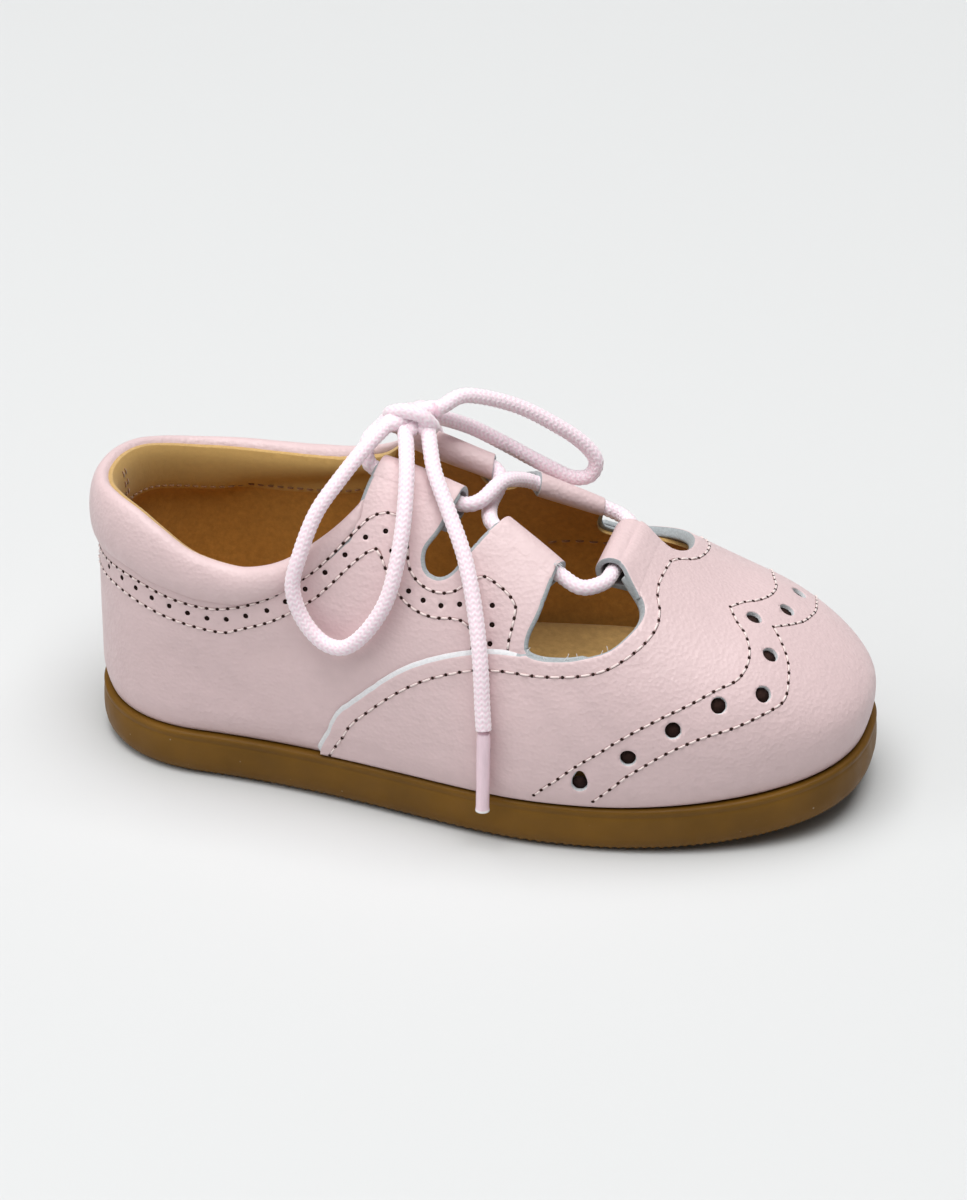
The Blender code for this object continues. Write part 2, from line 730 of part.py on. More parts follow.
def punch_places():
    """Pattern places of the round holes of the wing vamp, on both sides."""
    places = []
    for side in (OUTER, INNER):
        for x, y in TOE_PUNCHES if side == OUTER else TOE_PUNCHES[1:]:
            across = side * y + TIP_SHIFT * (1.0 - (y / TIP_HALF_WIDTH) ** 2)
            places.append(pattern_from_top(x, abs(across), math.copysign(1, across)))
        places += [pattern_from_side(x, z, side) for x, z in FLANK_PUNCHES]
    return places


def punch_outlines():
    """Outlines, on the pattern, of the round holes of the wing vamp."""
    step = 1e-3
    turns = np.arange(PUNCH_SIDES) * 2.0 * np.pi / PUNCH_SIDES
    outlines = []
    for u, q in punch_places():
        along = (last_point(u + step, q) - last_point(u - step, q)) / (2.0 * step)
        around = (last_point(u, q + step) - last_point(u, q - step)) / (2.0 * step)
        first = along / np.linalg.norm(along)
        second = np.cross(outward(u, q), first)
        ring = PUNCH_DIAMETER / 2 * (np.outer(first, np.cos(turns)) + np.outer(second, np.sin(turns)))
        moves = np.linalg.lstsq(np.stack([along, around], axis=1), ring, rcond=None)[0]
        outlines.append(np.array([u, q]) + moves.T)
    return outlines


def make_upper(throat):
    """Hollow wall with its padded collar roll and its five rolled lace tabs."""
    roll = add_cutter("collar_roll", mesh_from("collar_roll", collar_roll))
    axes = tab_axes()
    tubes = [rod(name, ends, TAB_RADIUS, TAB_SIDES) for name, ends in axes.items()]
    bores = [rod(f"{name}_bore", ends, TAB_BORE, TAB_SIDES, BORE_OVERRUN) for name, ends in axes.items()]
    upper = add_part("upper", make_shell("upper", -WALL, 0.0, 1.0, [throat]), "pink_leather")
    add_boolean(upper, "UNION", roll)
    add_boolean(upper, "UNION", helper_group("rolled_tabs", tubes))
    add_boolean(upper, "DIFFERENCE", helper_group("bores", bores))


def make_wing_vamp(throat):
    """Second leather layer over the front, with the punched holes of the wing tip."""
    behind = outline_prism("behind_wing_cutter", [behind_wing_outline()])
    punches = outline_prism("punch_cutter", punch_outlines())
    face = CLEARANCE + WING_THICKNESS
    mesh = make_shell("wing_vamp", CLEARANCE, face, WING_REACH, [throat, behind, punches])
    add_part("wing_vamp", mesh, "pink_leather")


def make_cord(name, route, finish):
    """Round cord along a smooth route, with filled ends."""
    fine = curve_through(route, 12)
    travel = np.concatenate(([0.0], np.cumsum(np.linalg.norm(np.diff(fine, axis=0), axis=1))))
    count = max(2, round(travel[-1] / LACE_STEP) + 1)
    wanted = np.linspace(0.0, travel[-1], count)
    points = np.stack([np.interp(wanted, travel, fine[:, i]) for i in range(3)], axis=-1)
    curve = bpy.data.curves.new(name, "CURVE")
    curve.dimensions = "3D"
    curve.bevel_depth = LACE_DIAMETER / 2 * MM
    curve.bevel_resolution = LACE_BEVEL
    curve.use_fill_caps = True
    spline = curve.splines.new("POLY")
    spline.points.add(count - 1)
    for point, place in zip(spline.points, points):
        point.co = (*(place * MM), 1.0)
    curve.materials.append(materials[finish])
    return add_object(name, curve, parts)


def make_aglet(name, route, foot):
    """Smooth tip that carries a lace end on, a little below it."""
    last, foot = Vector(route[-1]), Vector(foot)
    down = (foot - last).normalized()
    start = last + down * AGLET_GAP
    place = Matrix.Translation((start + foot) / 2 * MM) @ down.to_track_quat("Z", "Y").to_matrix().to_4x4()

    def build(bm):
        size = AGLET_DIAMETER / 2 * MM
        depth = (foot - start).length * MM
        bmesh.ops.create_cone(
            bm, cap_ends=True, segments=12, radius1=size, radius2=size * 0.9, depth=depth, matrix=place
        )

    add_part(name, mesh_from(name, build), "clear_tip")


def make_knot():
    def build(bm):
        scale = Matrix.Diagonal((*(r * MM for r in KNOT_RADII), 1.0))
        place = Matrix.Translation(Vector(KNOT_CENTRE) * MM) @ scale
        bmesh.ops.create_uvsphere(bm, u_segments=14, v_segments=9, radius=1.0, matrix=place)

    add_part("lace_knot", mesh_from("lace_knot", build), "pink_cord")


def make_laces():
    make_cord("lace", LACE_ROUTE, "pink_cord")
    make_knot()
    make_cord("lace_loop_outer", OUTER_LOOP_ROUTE, "pink_cord")
    make_cord("lace_loop_inner", INNER_LOOP_ROUTE, "pink_cord")
    make_cord("lace_end_outer", OUTER_END_ROUTE, "pink_cord")
    make_cord("lace_end_inner", INNER_END_ROUTE, "pink_cord")
    make_aglet("aglet_outer", OUTER_END_ROUTE, OUTER_AGLET_FOOT)
    make_aglet("aglet_inner", INNER_END_ROUTE, INNER_AGLET_FOOT)


for old in list(bpy.data.objects):
    bpy.data.objects.remove(old)
parts = bpy.data.collections.new("brogue")
cutters = bpy.data.collections.new("cutters")
for group in (parts, cutters):
    bpy.context.scene.collection.children.link(group)
materials = {name: make_material(name) for name in FINISHES}
make_outsole()
make_insole()
throat_cutter = outline_prism("throat_cutter", [throat_outline()])
make_upper(throat_cutter)
make_wing_vamp(throat_cutter)
make_laces()
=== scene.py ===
"""Looks of a child's open-throat brogue, right shoe, standing empty on its sole.

The packed model is loaded as a fixed frame, and the leather, stitching, lace and sole are modelled over it.
Sizes in the tables are in millimetres and become metres where a mesh is made. +X is the toe, +Y the inner
side of the foot and +Z is up.
"""

import math
from collections import Counter

import bmesh
import bpy
import numpy as np
from bpy.props import FloatProperty, FloatVectorProperty, IntProperty, PointerProperty
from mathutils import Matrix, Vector


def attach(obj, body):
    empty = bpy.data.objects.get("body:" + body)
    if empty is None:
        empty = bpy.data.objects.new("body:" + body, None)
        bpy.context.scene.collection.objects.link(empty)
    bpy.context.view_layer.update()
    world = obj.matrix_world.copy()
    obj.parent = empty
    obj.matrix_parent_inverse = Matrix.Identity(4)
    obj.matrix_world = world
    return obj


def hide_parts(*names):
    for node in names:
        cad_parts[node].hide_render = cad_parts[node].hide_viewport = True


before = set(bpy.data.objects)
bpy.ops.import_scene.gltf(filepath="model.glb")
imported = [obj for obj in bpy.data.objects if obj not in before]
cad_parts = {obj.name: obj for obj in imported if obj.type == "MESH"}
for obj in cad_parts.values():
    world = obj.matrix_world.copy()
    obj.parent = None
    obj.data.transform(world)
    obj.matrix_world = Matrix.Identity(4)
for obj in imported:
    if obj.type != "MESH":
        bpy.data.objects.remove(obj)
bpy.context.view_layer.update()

bl_info = {
    "name": "Open-throat brogue",
    "version": (1, 0, 0),
    "blender": (4, 5, 0),
    "location": "View3D > Sidebar > Brogue",
    "description": "Models the leather, stitching, lace and sole of a child's brogue over its packed frame",
    "category": "Object",
}

MM = 0.001
OUTER, INNER = -1, 1
BODY = "root"

# Sole: plan outline, underside and edge
SOLE_LENGTH = 138.0
SOLE_HEIGHT = 8.5
HEEL_HALF_WIDTH = 22.5
HEEL_WIDE_X = -45.0
HEEL_POWER = 2.2
TOE_POWER = 2.4
BALL_X = {OUTER: 18.0, INNER: 24.0}
BALL_HALF_WIDTH = {OUTER: 29.4, INNER: 28.9}
WAIST = {OUTER: 0.6, INNER: 2.0}
TOE_TURN = 3.0
TOE_TURN_FROM_X = 10.0
TOE_TURN_RUN = 50.0
TOE_SPRING = 4.5
TOE_SPRING_X = 25.0
HEEL_SPRING = 0.8
HEEL_SPRING_X = -52.0
ARCH_RISE = 0.8
ARCH_FROM_X = -24.0
ARCH_TO_X = 2.0
# Edge of the sole from the floor up: (height, inset from the outline)
SOLE_EDGE = (
    (0.0, 3.4),
    (0.0, 2.3),
    (0.35, 1.3),
    (0.9, 0.7),
    (1.7, 0.28),
    (2.8, 0.06),
    (4.0, 0.0),
    (5.4, 0.04),
    (6.5, 0.12),
    (6.9, 0.2),
    (7.1, 0.28),
    (7.3, 0.22),
    (7.6, 0.16),
    (8.0, 0.14),
    (8.3, 0.3),
    (8.5, 0.7),
    (8.45, 1.6),
)
SOLE_STATIONS = 520
TOOTH_STATIONS = 4
TOOTH_HEIGHT = 0.5
TOOTH_FADE = 1.3

# Footbed
CLEARANCE = 0.3
FOOTBED_THICKNESS = 5.4
FOOTBED_DISH = 0.7
FOOTBED_COLUMNS = 25
FOOTBED_STATIONS = 160
FOOTBED_EDGE_FROM = 0.9
FOOTBED_EDGE_RUN = 0.1
FOOTBED_EDGE_DROP = 0.6

# The last
WALL = 1.7
TUCK = 1.0
WIDEST_Z = 14.0
HEEL_INSET = 0.3
SIDE_INSET = 0.8
TOE_INSET = 1.7
TOE_CAP_X = 46.0
RIDGE = (
    (-69.0, 66.0),
    (-40.0, 65.0),
    (-15.0, 62.0),
    (-1.0, 57.2),
    (6.7, 54.4),
    (16.7, 50.0),
    (24.0, 45.9),
    (33.0, 40.4),
    (42.0, 35.9),
    (50.0, 32.8),
    (69.0, 25.0),
)
SECTION_POWER = ((-69.0, 2.8), (-40.0, 2.7), (-12.0, 2.0), (5.0, 2.0), (45.0, 2.5), (69.0, 2.5))
WALL_SHARE = 0.125
UPPER_BACK = -SOLE_LENGTH / 2 + HEEL_INSET
UPPER_FRONT = SOLE_LENGTH / 2 - TOE_INSET
UPPER_MIDDLE = (UPPER_BACK + UPPER_FRONT) / 2
UPPER_HALF = (UPPER_FRONT - UPPER_BACK) / 2

# Flat pattern: only the shape of its cells depends on these
PATTERN_LENGTH = 180.0
PATTERN_HALF_GIRTH = 70.0
CUTTER_DEPTH = 20.0
PAST_SOLE = 1.1
PAST_TOE = 1.1
PAST_HEEL = -0.1
PAST_COLLAR = -0.05
CURVE_STEPS = 4

# Collar rim, heel to rear tab: (x, height on the outer side, height on the inner side)
COLLAR = (
    (-68.7, 48.6, 48.6),
    (-66.5, 49.0, 47.8),
    (-63.0, 49.3, 46.6),
    (-58.0, 48.7, 45.4),
    (-53.0, 46.7, 45.0),
    (-47.0, 43.6, 45.0),
    (-41.0, 42.0, 45.3),
    (-36.0, 41.9, 45.7),
    (-30.0, 44.0, 46.8),
    (-23.3, 48.8, 49.8),
    (-18.4, 53.6, 54.0),
    (-15.8, 57.6, 57.6),
)
# Height of the padded roll under the rim: (x, height)
ROLL_HEIGHT = (
    (-69.0, 11.6),
    (-56.0, 10.9),
    (-48.0, 8.4),
    (-40.0, 6.8),
    (-32.0, 5.6),
    (-24.0, 4.9),
    (-17.0, 4.2),
)
ROLL_HALF_WIDTH = 2.3
ROLL_OUTWARD = 0.1
ROLL_START_X = -17.4
ROLL_STATIONS = 240
ROLL_SIDES = 32
ROLL_END_TAPER = 0.1
ROLL_END_HALF_WIDTH = 0.9
ROLL_SPARE = 0.2
ROLL_PUCKER = 0.035
ROLL_PUCKER_PITCH = 3.8
# Keyhole notch between the lace tabs, then the side opening's rear edge and bottom: (x, z)
NOTCH = ((-4.3, 51.6), (-6.4, 48.4), (-5.8, 45.2), (-3.1, 43.9), (-0.3, 45.0), (2.0, 48.0))
OPENING_REAR = (
    (14.6, 41.5),
    (13.2, 37.6),
    (13.4, 35.2),
    (15.4, 34.2),
    (18.6, 34.0),
    (22.5, 34.3),
    (27.0, 35.2),
)
# Side opening's front edge: (x, y from the middle line)
OPENING_FRONT = {
    OUTER: ((29.6, 19.2), (31.3, 15.6), (30.8, 12.6), (28.0, 10.0), (26.6, 8.8)),
    INNER: (
        (30.2, 19.2),
        (32.8, 15.6),
        (34.0, 11.6),
        (34.2, 8.0),
        (33.2, 5.2),
        (31.2, 4.0),
        (28.4, 5.0),
        (26.6, 5.8),
    ),
}
# How far the inner tabs sit ahead of the outer ones, and where that starts and ends
INNER_TABS_FORWARD = 2.0
FORWARD_FROM_X = -40.0
FORWARD_RUN = 25.0
BACK_FROM_X = 14.0
BACK_RUN = 14.0

# Wing vamp. Its edge from the sole up: (x, z)
WING_THICKNESS = 0.9
WING_REACH = 0.986
WING_LIFT = 0.12
WING_SINK = 0.97
WING_SINK_X = 23.0
WING_SINK_RUN = 2.0
WING_THROAT_X = 10.0
WING_THROAT_RUN = 4.0
WING_EDGE = ((-23.6, 8.0), (-20.0, 15.5), (-15.2, 21.5), (-5.5, 29.5), (5.5, 33.7), (13.0, 34.4))
WING_ACROSS_THROAT = ((17.5, 35.4), (20.0, 46.0))
WING_TAB_X = 27.6
WING_TAB_HALF_WIDTH = 9.0
QUARTER_FRONT = (
    (-10.0, 8.0),
    (-6.0, 13.5),
    (0.0, 18.5),
    (8.0, 24.0),
    (16.0, 27.0),
    (21.0, 28.5),
    (23.5, 33.0),
    (24.5, 46.0),
)
PUNCH_DIAMETER = 2.6
TIP_SHIFT = -4.0
TIP_HALF_WIDTH = 28.0
TOE_PUNCHES = ((47.8, 0.0), (52.0, 6.8), (52.4, 14.4))
FLANK_PUNCHES = ((45.9, 26.9), (39.2, 23.8), (32.3, 19.2), (24.4, 13.9))
# Width over which a raw edge shows: along each cut, at a hole and at the sole
QUARTER_EDGE = 0.8
WING_REAR_EDGE = 1.0
WING_THROAT_EDGE = 0.35
HOLE_EDGE = 0.12
SOLE_EDGE_WIDTH = 0.1
# A place is on a hole's rim this near to it, and on the sole past this share of the girth
HOLE_RIM = 0.3
AT_SOLE = 0.97
# Section of a raw edge from the outer face in: share of its width, share of the leather's depth
EDGE_PROFILE = ((0.22, 0.05), (0.6, 0.2), (0.92, 0.45), (1.0, 0.75))
# Foot of a raw edge: share of its width, and share of the depth over the inner face
EDGE_FOOT_WIDTH = 0.9
EDGE_FOOT_RISE = 0.03
PINHOLE_SIDES = 10
PUNCH_SIDES = 28
# Lining: depth of its top band, and how far its edge lies below the rim
BAND_DEPTH = 9.6
BAND_THICKNESS = 0.3
LINING_THICKNESS = 0.7
LINING_DROP = 0.5
LINING_FORWARD = 1.0
LINING_EDGE = 0.05
LINING_GAP = 0.05
LINING_IN_ROLL = 0.15
# Where the lining's bulge over the roll begins, and where its band ends: distances from the roll's start
BULGE_BEGINS = 2.0
BULGE_RUN = 6.0
BAND_ENDS = 7.0
BAND_END_RUN = 12.0
BAND_STEP = 0.5
LINING_COLUMNS = 200
LINING_ROWS = 130
# How far the other layers' edges lie below the rim
QUARTER_DROP = 5.0
WING_DROP = 1.4

# Lace tabs rolled into tubes, by the ends of each outer tube's axis
REAR_TAB = ((-15.8, -7.0, 56.6), (-2.4, -7.1, 52.6))
FRONT_TAB = ((5.8, -9.1, 49.1), (15.9, -12.1, 44.7))
VAMP_TAB_X = 24.5
VAMP_TAB = ((VAMP_TAB_X, -7.0, 42.9), (VAMP_TAB_X, 7.0, 42.9))
VAMP_TAB_ROOT_X = 30.0
VAMP_TAB_FOLD_X = 25.6
VAMP_TAB_RADIUS = 3.0
VAMP_TAB_TAIL_DEPTH = 3.4
VAMP_TAB_FOOT_ROWS = 9
VAMP_TAB_LIFT = 0.05
VAMP_TAB_SINK = 0.25
VAMP_TAB_SINK_X = 29.4
VAMP_TAB_SINK_RUN = 0.6
VAMP_TAB_EASE_X = 25.0
VAMP_TAB_EASE_RUN = 4.4
VAMP_TAB_LEAN = (1.0, 0.35, 1.0)
# Sides of the vamp tab: (x, y from the middle line)
VAMP_TAB_EDGES = {
    OUTER: ((24.0, 7.1), (25.5, 7.9), (28.0, 10.3), (30.8, 12.9)),
    INNER: ((24.0, 7.0), (25.5, 6.6), (28.4, 5.1), (31.2, 3.9)),
}
TAB_THICKNESS = 1.0
TAB_COLUMNS = 28
TAB_TAIL = 6.5
TAB_TAIL_DEPTH = 2.3
TAB_SPARE = 0.4
TAB_ROUND_STEPS = 26
TAB_TAIL_STEPS = 7
TAB_TAIL_FROM = 0.15
# Foot of a side tab on the quarter: its rows' heights over the leather, first and last distance from the fold
TAB_LIFTS = (-0.22, -0.06, 0.02, 0.04, 0.05, 0.05, 0.05, 0.05)
TAB_FOOT_FROM = 2.6
TAB_FOOT_TO = 0.3
TAB_GIRTH = 52.0
TAB_BEVEL = 0.14

# Stitch rows of the quarter, heel to wing: (x, z)
UPPER_ROW = (
    (-67.6, 36.5),
    (-65.0, 36.5),
    (-62.5, 36.6),
    (-59.1, 36.5),
    (-55.6, 35.9),
    (-51.4, 34.9),
    (-47.7, 34.2),
    (-43.0, 33.8),
    (-38.8, 34.5),
    (-34.8, 36.0),
    (-30.7, 38.3),
    (-25.0, 42.6),
    (-21.5, 46.2),
    (-18.5, 49.5),
    (-15.6, 52.3),
    (-12.6, 53.0),
    (-9.9, 51.9),
    (-8.8, 48.6),
    (-8.0, 45.4),
    (-5.7, 43.2),
    (-2.6, 42.3),
    (0.4, 42.9),
    (2.8, 44.7),
    (4.9, 45.3),
    (7.4, 44.3),
    (9.6, 43.0),
    (11.0, 41.4),
    (10.9, 38.9),
    (10.6, 36.6),
    (10.6, 34.9),
)
LOWER_ROW = (
    (-67.6, 33.3),
    (-65.0, 33.3),
    (-60.9, 33.1),
    (-55.6, 32.0),
    (-49.2, 30.6),
    (-42.2, 29.6),
    (-38.4, 30.3),
    (-31.6, 33.2),
    (-25.0, 37.7),
    (-21.5, 41.1),
    (-18.5, 44.4),
    (-15.6, 47.0),
    (-13.8, 47.6),
    (-12.8, 46.0),
    (-11.4, 43.6),
    (-8.8, 40.6),
    (-5.7, 38.9),
    (-2.6, 38.4),
    (0.4, 38.7),
    (2.6, 38.4),
    (4.0, 37.0),
    (4.4, 34.4),
)
PIN_ROW = (
    (-67.2, 35.2),
    (-63.4, 35.4),
    (-60.1, 35.2),
    (-57.0, 34.6),
    (-53.7, 33.8),
    (-50.3, 33.1),
    (-46.9, 32.4),
    (-43.4, 31.9),
    (-39.9, 32.2),
    (-36.4, 33.4),
    (-32.6, 35.0),
    (-29.3, 37.1),
    (-25.9, 39.8),
    (-22.6, 43.0),
    (-19.4, 46.2),
    (-16.2, 49.2),
    (-12.9, 50.4),
    (-11.4, 47.6),
    (-9.9, 44.4),
    (-7.7, 41.9),
    (-5.0, 40.8),
    (-1.8, 40.4),
    (1.4, 41.0),
    (4.4, 42.3),
    (7.0, 41.4),
    (7.4, 38.6),
    (7.4, 35.7),
)
# Needle and pin places round the back of the heel: distances from its middle line
HEEL_STITCHES = (1.6, 3.6, 5.6)
HEEL_PINS = (2.3, 5.6)
# Seams down the back of the heel: distance from its middle line, top and foot
HEEL_SEAM = (1.5, 33.0, 10.0)
LINING_SEAM = (0.7, 47.0, 16.0)
LINING_ROW_RISE = 0.9
# One stitch: share of its length, height over the leather and share of the thread's size
STITCH_SHAPE = (
    (0.0, -0.25, 0.6),
    (0.14, 0.06, 0.95),
    (0.5, 0.14, 1.0),
    (0.86, 0.06, 0.95),
    (1.0, -0.25, 0.6),
)
ROW_STEPS = 8
ROW_STEP = 0.15
STITCH_START = 0.15
STITCH_SHARE = 0.7
STITCH_SIDES = 6
# Dark discs of painted shade in the holes: height over the leather, and their own thickness
NEEDLE_LIFT = 0.03
PINHOLE_LIFT = -0.3
PUNCH_LIFT = 0.45
PUNCH_SPARE = 0.05
DISC_RISE = 0.01
DISC_DEPTH = 0.4
DISC_SIDES = 8
# Dark ribbon of painted shadow along the groove pressed by a seam: share of a needle hole's width, height and
# depth
GROOVE_SHARE = 0.75
GROOVE_RISE = 0.022
GROOVE_DEPTH = 0.3
GROOVE_STEP = 0.6
# Stitch row inside the wing's edge, from the sole: (x, z), then round the opening's front: (x, y from the
# middle line)
WING_ROW = (
    (-21.0, 9.6),
    (-17.9, 14.6),
    (-13.3, 20.2),
    (-4.4, 27.4),
    (4.1, 31.0),
    (9.9, 31.9),
    (16.7, 31.8),
    (22.6, 32.1),
    (27.4, 33.0),
)
WING_ROW_FRONT = {
    OUTER: ((31.4, 20.2), (33.5, 16.4), (33.5, 13.0), (32.4, 10.2), (31.9, 7.4), (32.0, 3.6), (32.2, 0.0)),
    INNER: (
        (32.2, 20.2),
        (35.0, 16.4),
        (36.3, 12.4),
        (36.4, 8.4),
        (35.6, 5.0),
        (34.0, 2.9),
        (32.6, 1.2),
        (32.2, 0.0),
    ),
}
# Stitch rows of the wing tip: on the toe (x, distance from the tip's line), then down the flank (x, z)
TIP_ROWS = (
    (
        ((43.6, 0.0), (45.3, 2.9), (47.4, 5.3), (48.8, 8.6), (48.9, 12.0), (47.8, 15.0)),
        (
            (45.0, 28.8),
            (41.2, 27.4),
            (36.9, 25.7),
            (32.3, 23.3),
            (28.1, 20.4),
            (23.7, 17.1),
            (19.7, 13.6),
            (16.6, 10.8),
        ),
    ),
    (
        ((51.0, 0.0), (52.9, 2.6), (54.7, 5.8), (55.6, 9.4), (55.6, 13.2)),
        ((52.9, 24.8), (48.8, 23.6), (43.8, 22.4), (39.0, 20.4), (34.6, 17.6), (30.4, 14.0), (26.6, 10.6)),
    ),
)
# Loose fibres: along the bottom of the outer opening (x, z, lean, length), and from the front tab's corner
# (reach)
EDGE_FIBRES = (
    (13.9, 35.0, 0.5, 1.3),
    (14.3, 34.8, -0.2, 1.0),
    (17.2, 34.2, -0.7, 0.8),
    (20.2, 34.2, 0.6, 1.1),
    (20.8, 34.2, 0.1, 1.4),
    (22.6, 34.4, -0.4, 1.2),
    (23.1, 34.4, 0.8, 0.9),
    (26.0, 35.0, 0.3, 1.0),
    (27.2, 35.3, -0.5, 1.2),
)
TAB_FIBRES = ((1.7, -0.5, 0.3), (1.5, -0.2, -0.5), (2.0, -0.9, -0.1), (1.1, 0.2, 0.8), (1.3, -1.0, -0.9))
FIBRE_RADIUS = 0.05
FIBRE_LIFT = 0.7
FIBRE_BOW = 0.18
TAB_CORNER = 2.6
TAB_FIBRE_BOW = (0.0, 0.2, 0.25)
# Creases pressed into the leather: side, start (x, z), end (x, z), half width, depth. Their banks rise by
# CREASE_BANK
CREASE_BANK = 0.7
CREASES = (
    (OUTER, (14.0, 30.5), (24.0, 17.0), 2.6, 0.22),
    (OUTER, (21.0, 31.0), (31.0, 20.0), 2.2, 0.20),
    (OUTER, (4.0, 28.0), (11.0, 15.0), 3.0, 0.22),
    (OUTER, (33.0, 33.0), (39.0, 25.0), 2.0, 0.16),
    (OUTER, (-34.0, 26.0), (-20.0, 31.5), 4.0, 0.35),
    (OUTER, (-50.0, 23.0), (-38.0, 17.0), 4.5, 0.30),
    (OUTER, (-26.0, 13.0), (-12.0, 12.0), 2.4, 0.25),
    (INNER, (13.0, 30.0), (22.0, 17.0), 2.6, 0.22),
    (INNER, (20.0, 31.0), (30.0, 20.0), 2.2, 0.20),
    (INNER, (-36.0, 27.0), (-20.0, 30.5), 4.0, 0.35),
    (INNER, (-30.0, 15.0), (-12.0, 13.0), 3.0, 0.30),
)

# Lace: knot, aglets and the routes of the cords, knot first
LACE_DIAMETER = 2.75
LACE_STEP = 0.18
LACE_TUCK = 1.6
LACE_SIDES = 42
ROUTE_STEPS = 12
# Braid: slant of a chevron in pitches, shares of the depth on its waves and between its columns
BRAID_SLANT = 0.6
BRAID_WAVE = 0.9
BRAID_VALLEY = 0.35
BRAID_SHARPNESS = 8
KNOT_CENTRE = (-12.5, 0.0, 63.9)
AGLET_DIAMETER = 2.4
AGLET_GAP = 0.6
AGLET_RIM = 0.4
AGLET_RIM_FADE = 0.1
AGLET_TAPER = 0.04
AGLET_STATIONS = 60
AGLET_SIDES = 24
# Humps of an aglet: height and half width of its lip, its seam (in radians) and its shoulder
AGLET_LIP = (0.1, 0.45)
AGLET_SEAM = (0.06, 0.25)
AGLET_SEAM_TURN = 2.2
AGLET_SHOULDER = (0.16, 0.9)
LACE_ROUTE = (
    (-17.3, -1.7, 63.0),
    (-19.2, -4.2, 61.0),
    (-18.6, -6.6, 58.3),
    (-15.8, -7.0, 56.6),
    (-9.1, -7.05, 54.6),
    (-2.4, -7.1, 52.6),
    (0.8, -5.4, 52.6),
    (3.2, 0.6, 53.6),
    (5.4, 6.4, 51.2),
    (7.8, 9.1, 49.1),
    (12.8, 10.6, 46.9),
    (17.9, 12.1, 44.7),
    (21.6, 12.4, 43.2),
    (23.9, 10.0, 42.8),
    (24.5, 7.0, 42.9),
    (24.5, 0.0, 42.9),
    (24.5, -7.0, 42.9),
    (23.6, -10.4, 42.6),
    (20.4, -13.0, 42.8),
    (15.9, -12.1, 44.7),
    (10.8, -10.6, 46.9),
    (5.8, -9.1, 49.1),
    (3.0, -6.4, 49.6),
    (1.4, -0.6, 49.4),
    (1.7, 4.7, 51.0),
    (-0.4, 7.1, 52.6),
    (-7.1, 7.05, 54.6),
    (-13.8, 7.0, 56.6),
    (-16.9, 6.7, 58.2),
    (-18.6, 4.7, 60.2),
    (-17.3, 2.2, 62.0),
)
OUTER_LOOP_ROUTE = (
    (-15.9, -4.6, 64.4),
    (-18.2, -9.6, 62.4),
    (-21.0, -14.6, 58.9),
    (-24.2, -19.0, 53.9),
    (-26.3, -22.4, 47.0),
    (-27.2, -23.6, 41.4),
    (-25.4, -24.0, 35.9),
    (-21.7, -24.6, 32.2),
    (-17.7, -25.0, 32.0),
    (-14.0, -24.7, 35.4),
    (-11.0, -23.3, 40.6),
    (-9.7, -21.1, 46.3),
    (-9.4, -17.3, 52.8),
    (-10.2, -12.2, 58.6),
    (-11.6, -7.2, 61.8),
    (-12.4, -5.0, 62.9),
)
OUTER_END_ROUTE = (
    (-8.7, -3.4, 62.6),
    (-6.1, -9.2, 59.2),
    (-2.2, -14.2, 54.6),
    (1.8, -18.9, 48.9),
    (4.8, -23.5, 41.6),
    (6.7, -27.2, 34.3),
    (7.7, -29.5, 26.7),
    (8.2, -30.5, 22.9),
)
OUTER_AGLET_FOOT = (8.2, -31.3, 7.4)
INNER_LOOP_ROUTE = (
    (-7.8, 2.2, 65.8),
    (-4.6, 6.4, 66.2),
    (2.6, 12.0, 62.4),
    (9.4, 15.2, 57.6),
    (13.6, 16.9, 53.8),
    (15.6, 17.4, 50.6),
    (14.6, 17.0, 47.8),
    (11.6, 16.2, 47.4),
    (8.2, 15.2, 49.2),
    (4.6, 14.2, 51.4),
    (0.2, 13.0, 54.2),
    (-5.0, 10.4, 58.0),
    (-9.3, 4.9, 62.2),
)
INNER_END_ROUTE = (
    (-13.6, 4.9, 62.6),
    (-13.6, 9.2, 61.2),
    (-13.4, 13.4, 57.6),
    (-13.2, 17.2, 52.2),
    (-12.8, 20.6, 45.6),
    (-12.4, 23.2, 38.4),
    (-12.0, 25.0, 31.0),
    (-11.8, 26.0, 25.4),
)
INNER_AGLET_FOOT = (-11.6, 26.9, 9.9)
# Strands of the knot, as closed or open runs about its centre
KNOT_WRAP = (
    (3.6, -1.6, 0.2),
    (2.2, -2.6, 2.2),
    (-0.6, -2.6, 2.7),
    (-3.2, -1.8, 1.6),
    (-4.0, 0.6, -0.4),
    (-2.6, 2.2, -1.6),
    (0.6, 2.2, -1.9),
    (3.0, 0.8, -1.6),
)
KNOT_BUNDLE = (
    ((-4.8, -2.0, -0.8), (-3.4, -4.6, 0.5), (-0.6, -2.0, 0.9), (1.6, 1.4, 1.2), (4.7, 2.2, 1.9)),
    ((0.1, -5.0, -1.0), (0.6, -2.4, -0.2), (0.4, 0.6, 0.4), (1.6, 3.4, -0.4), (3.2, 4.9, -1.7)),
    ((3.8, -3.4, -1.3), (1.8, -1.4, 0.0), (-0.6, 0.6, 0.6), (-1.4, 2.8, 0.0), (-1.1, 4.9, -1.3)),
    ((-4.8, 2.2, -1.9), (-3.0, 1.6, -0.9), (-0.4, 0.2, -0.4), (2.0, -0.2, 0.4)),
)
STRAND_END = 0.55
STRAND_TAPER = 1.8

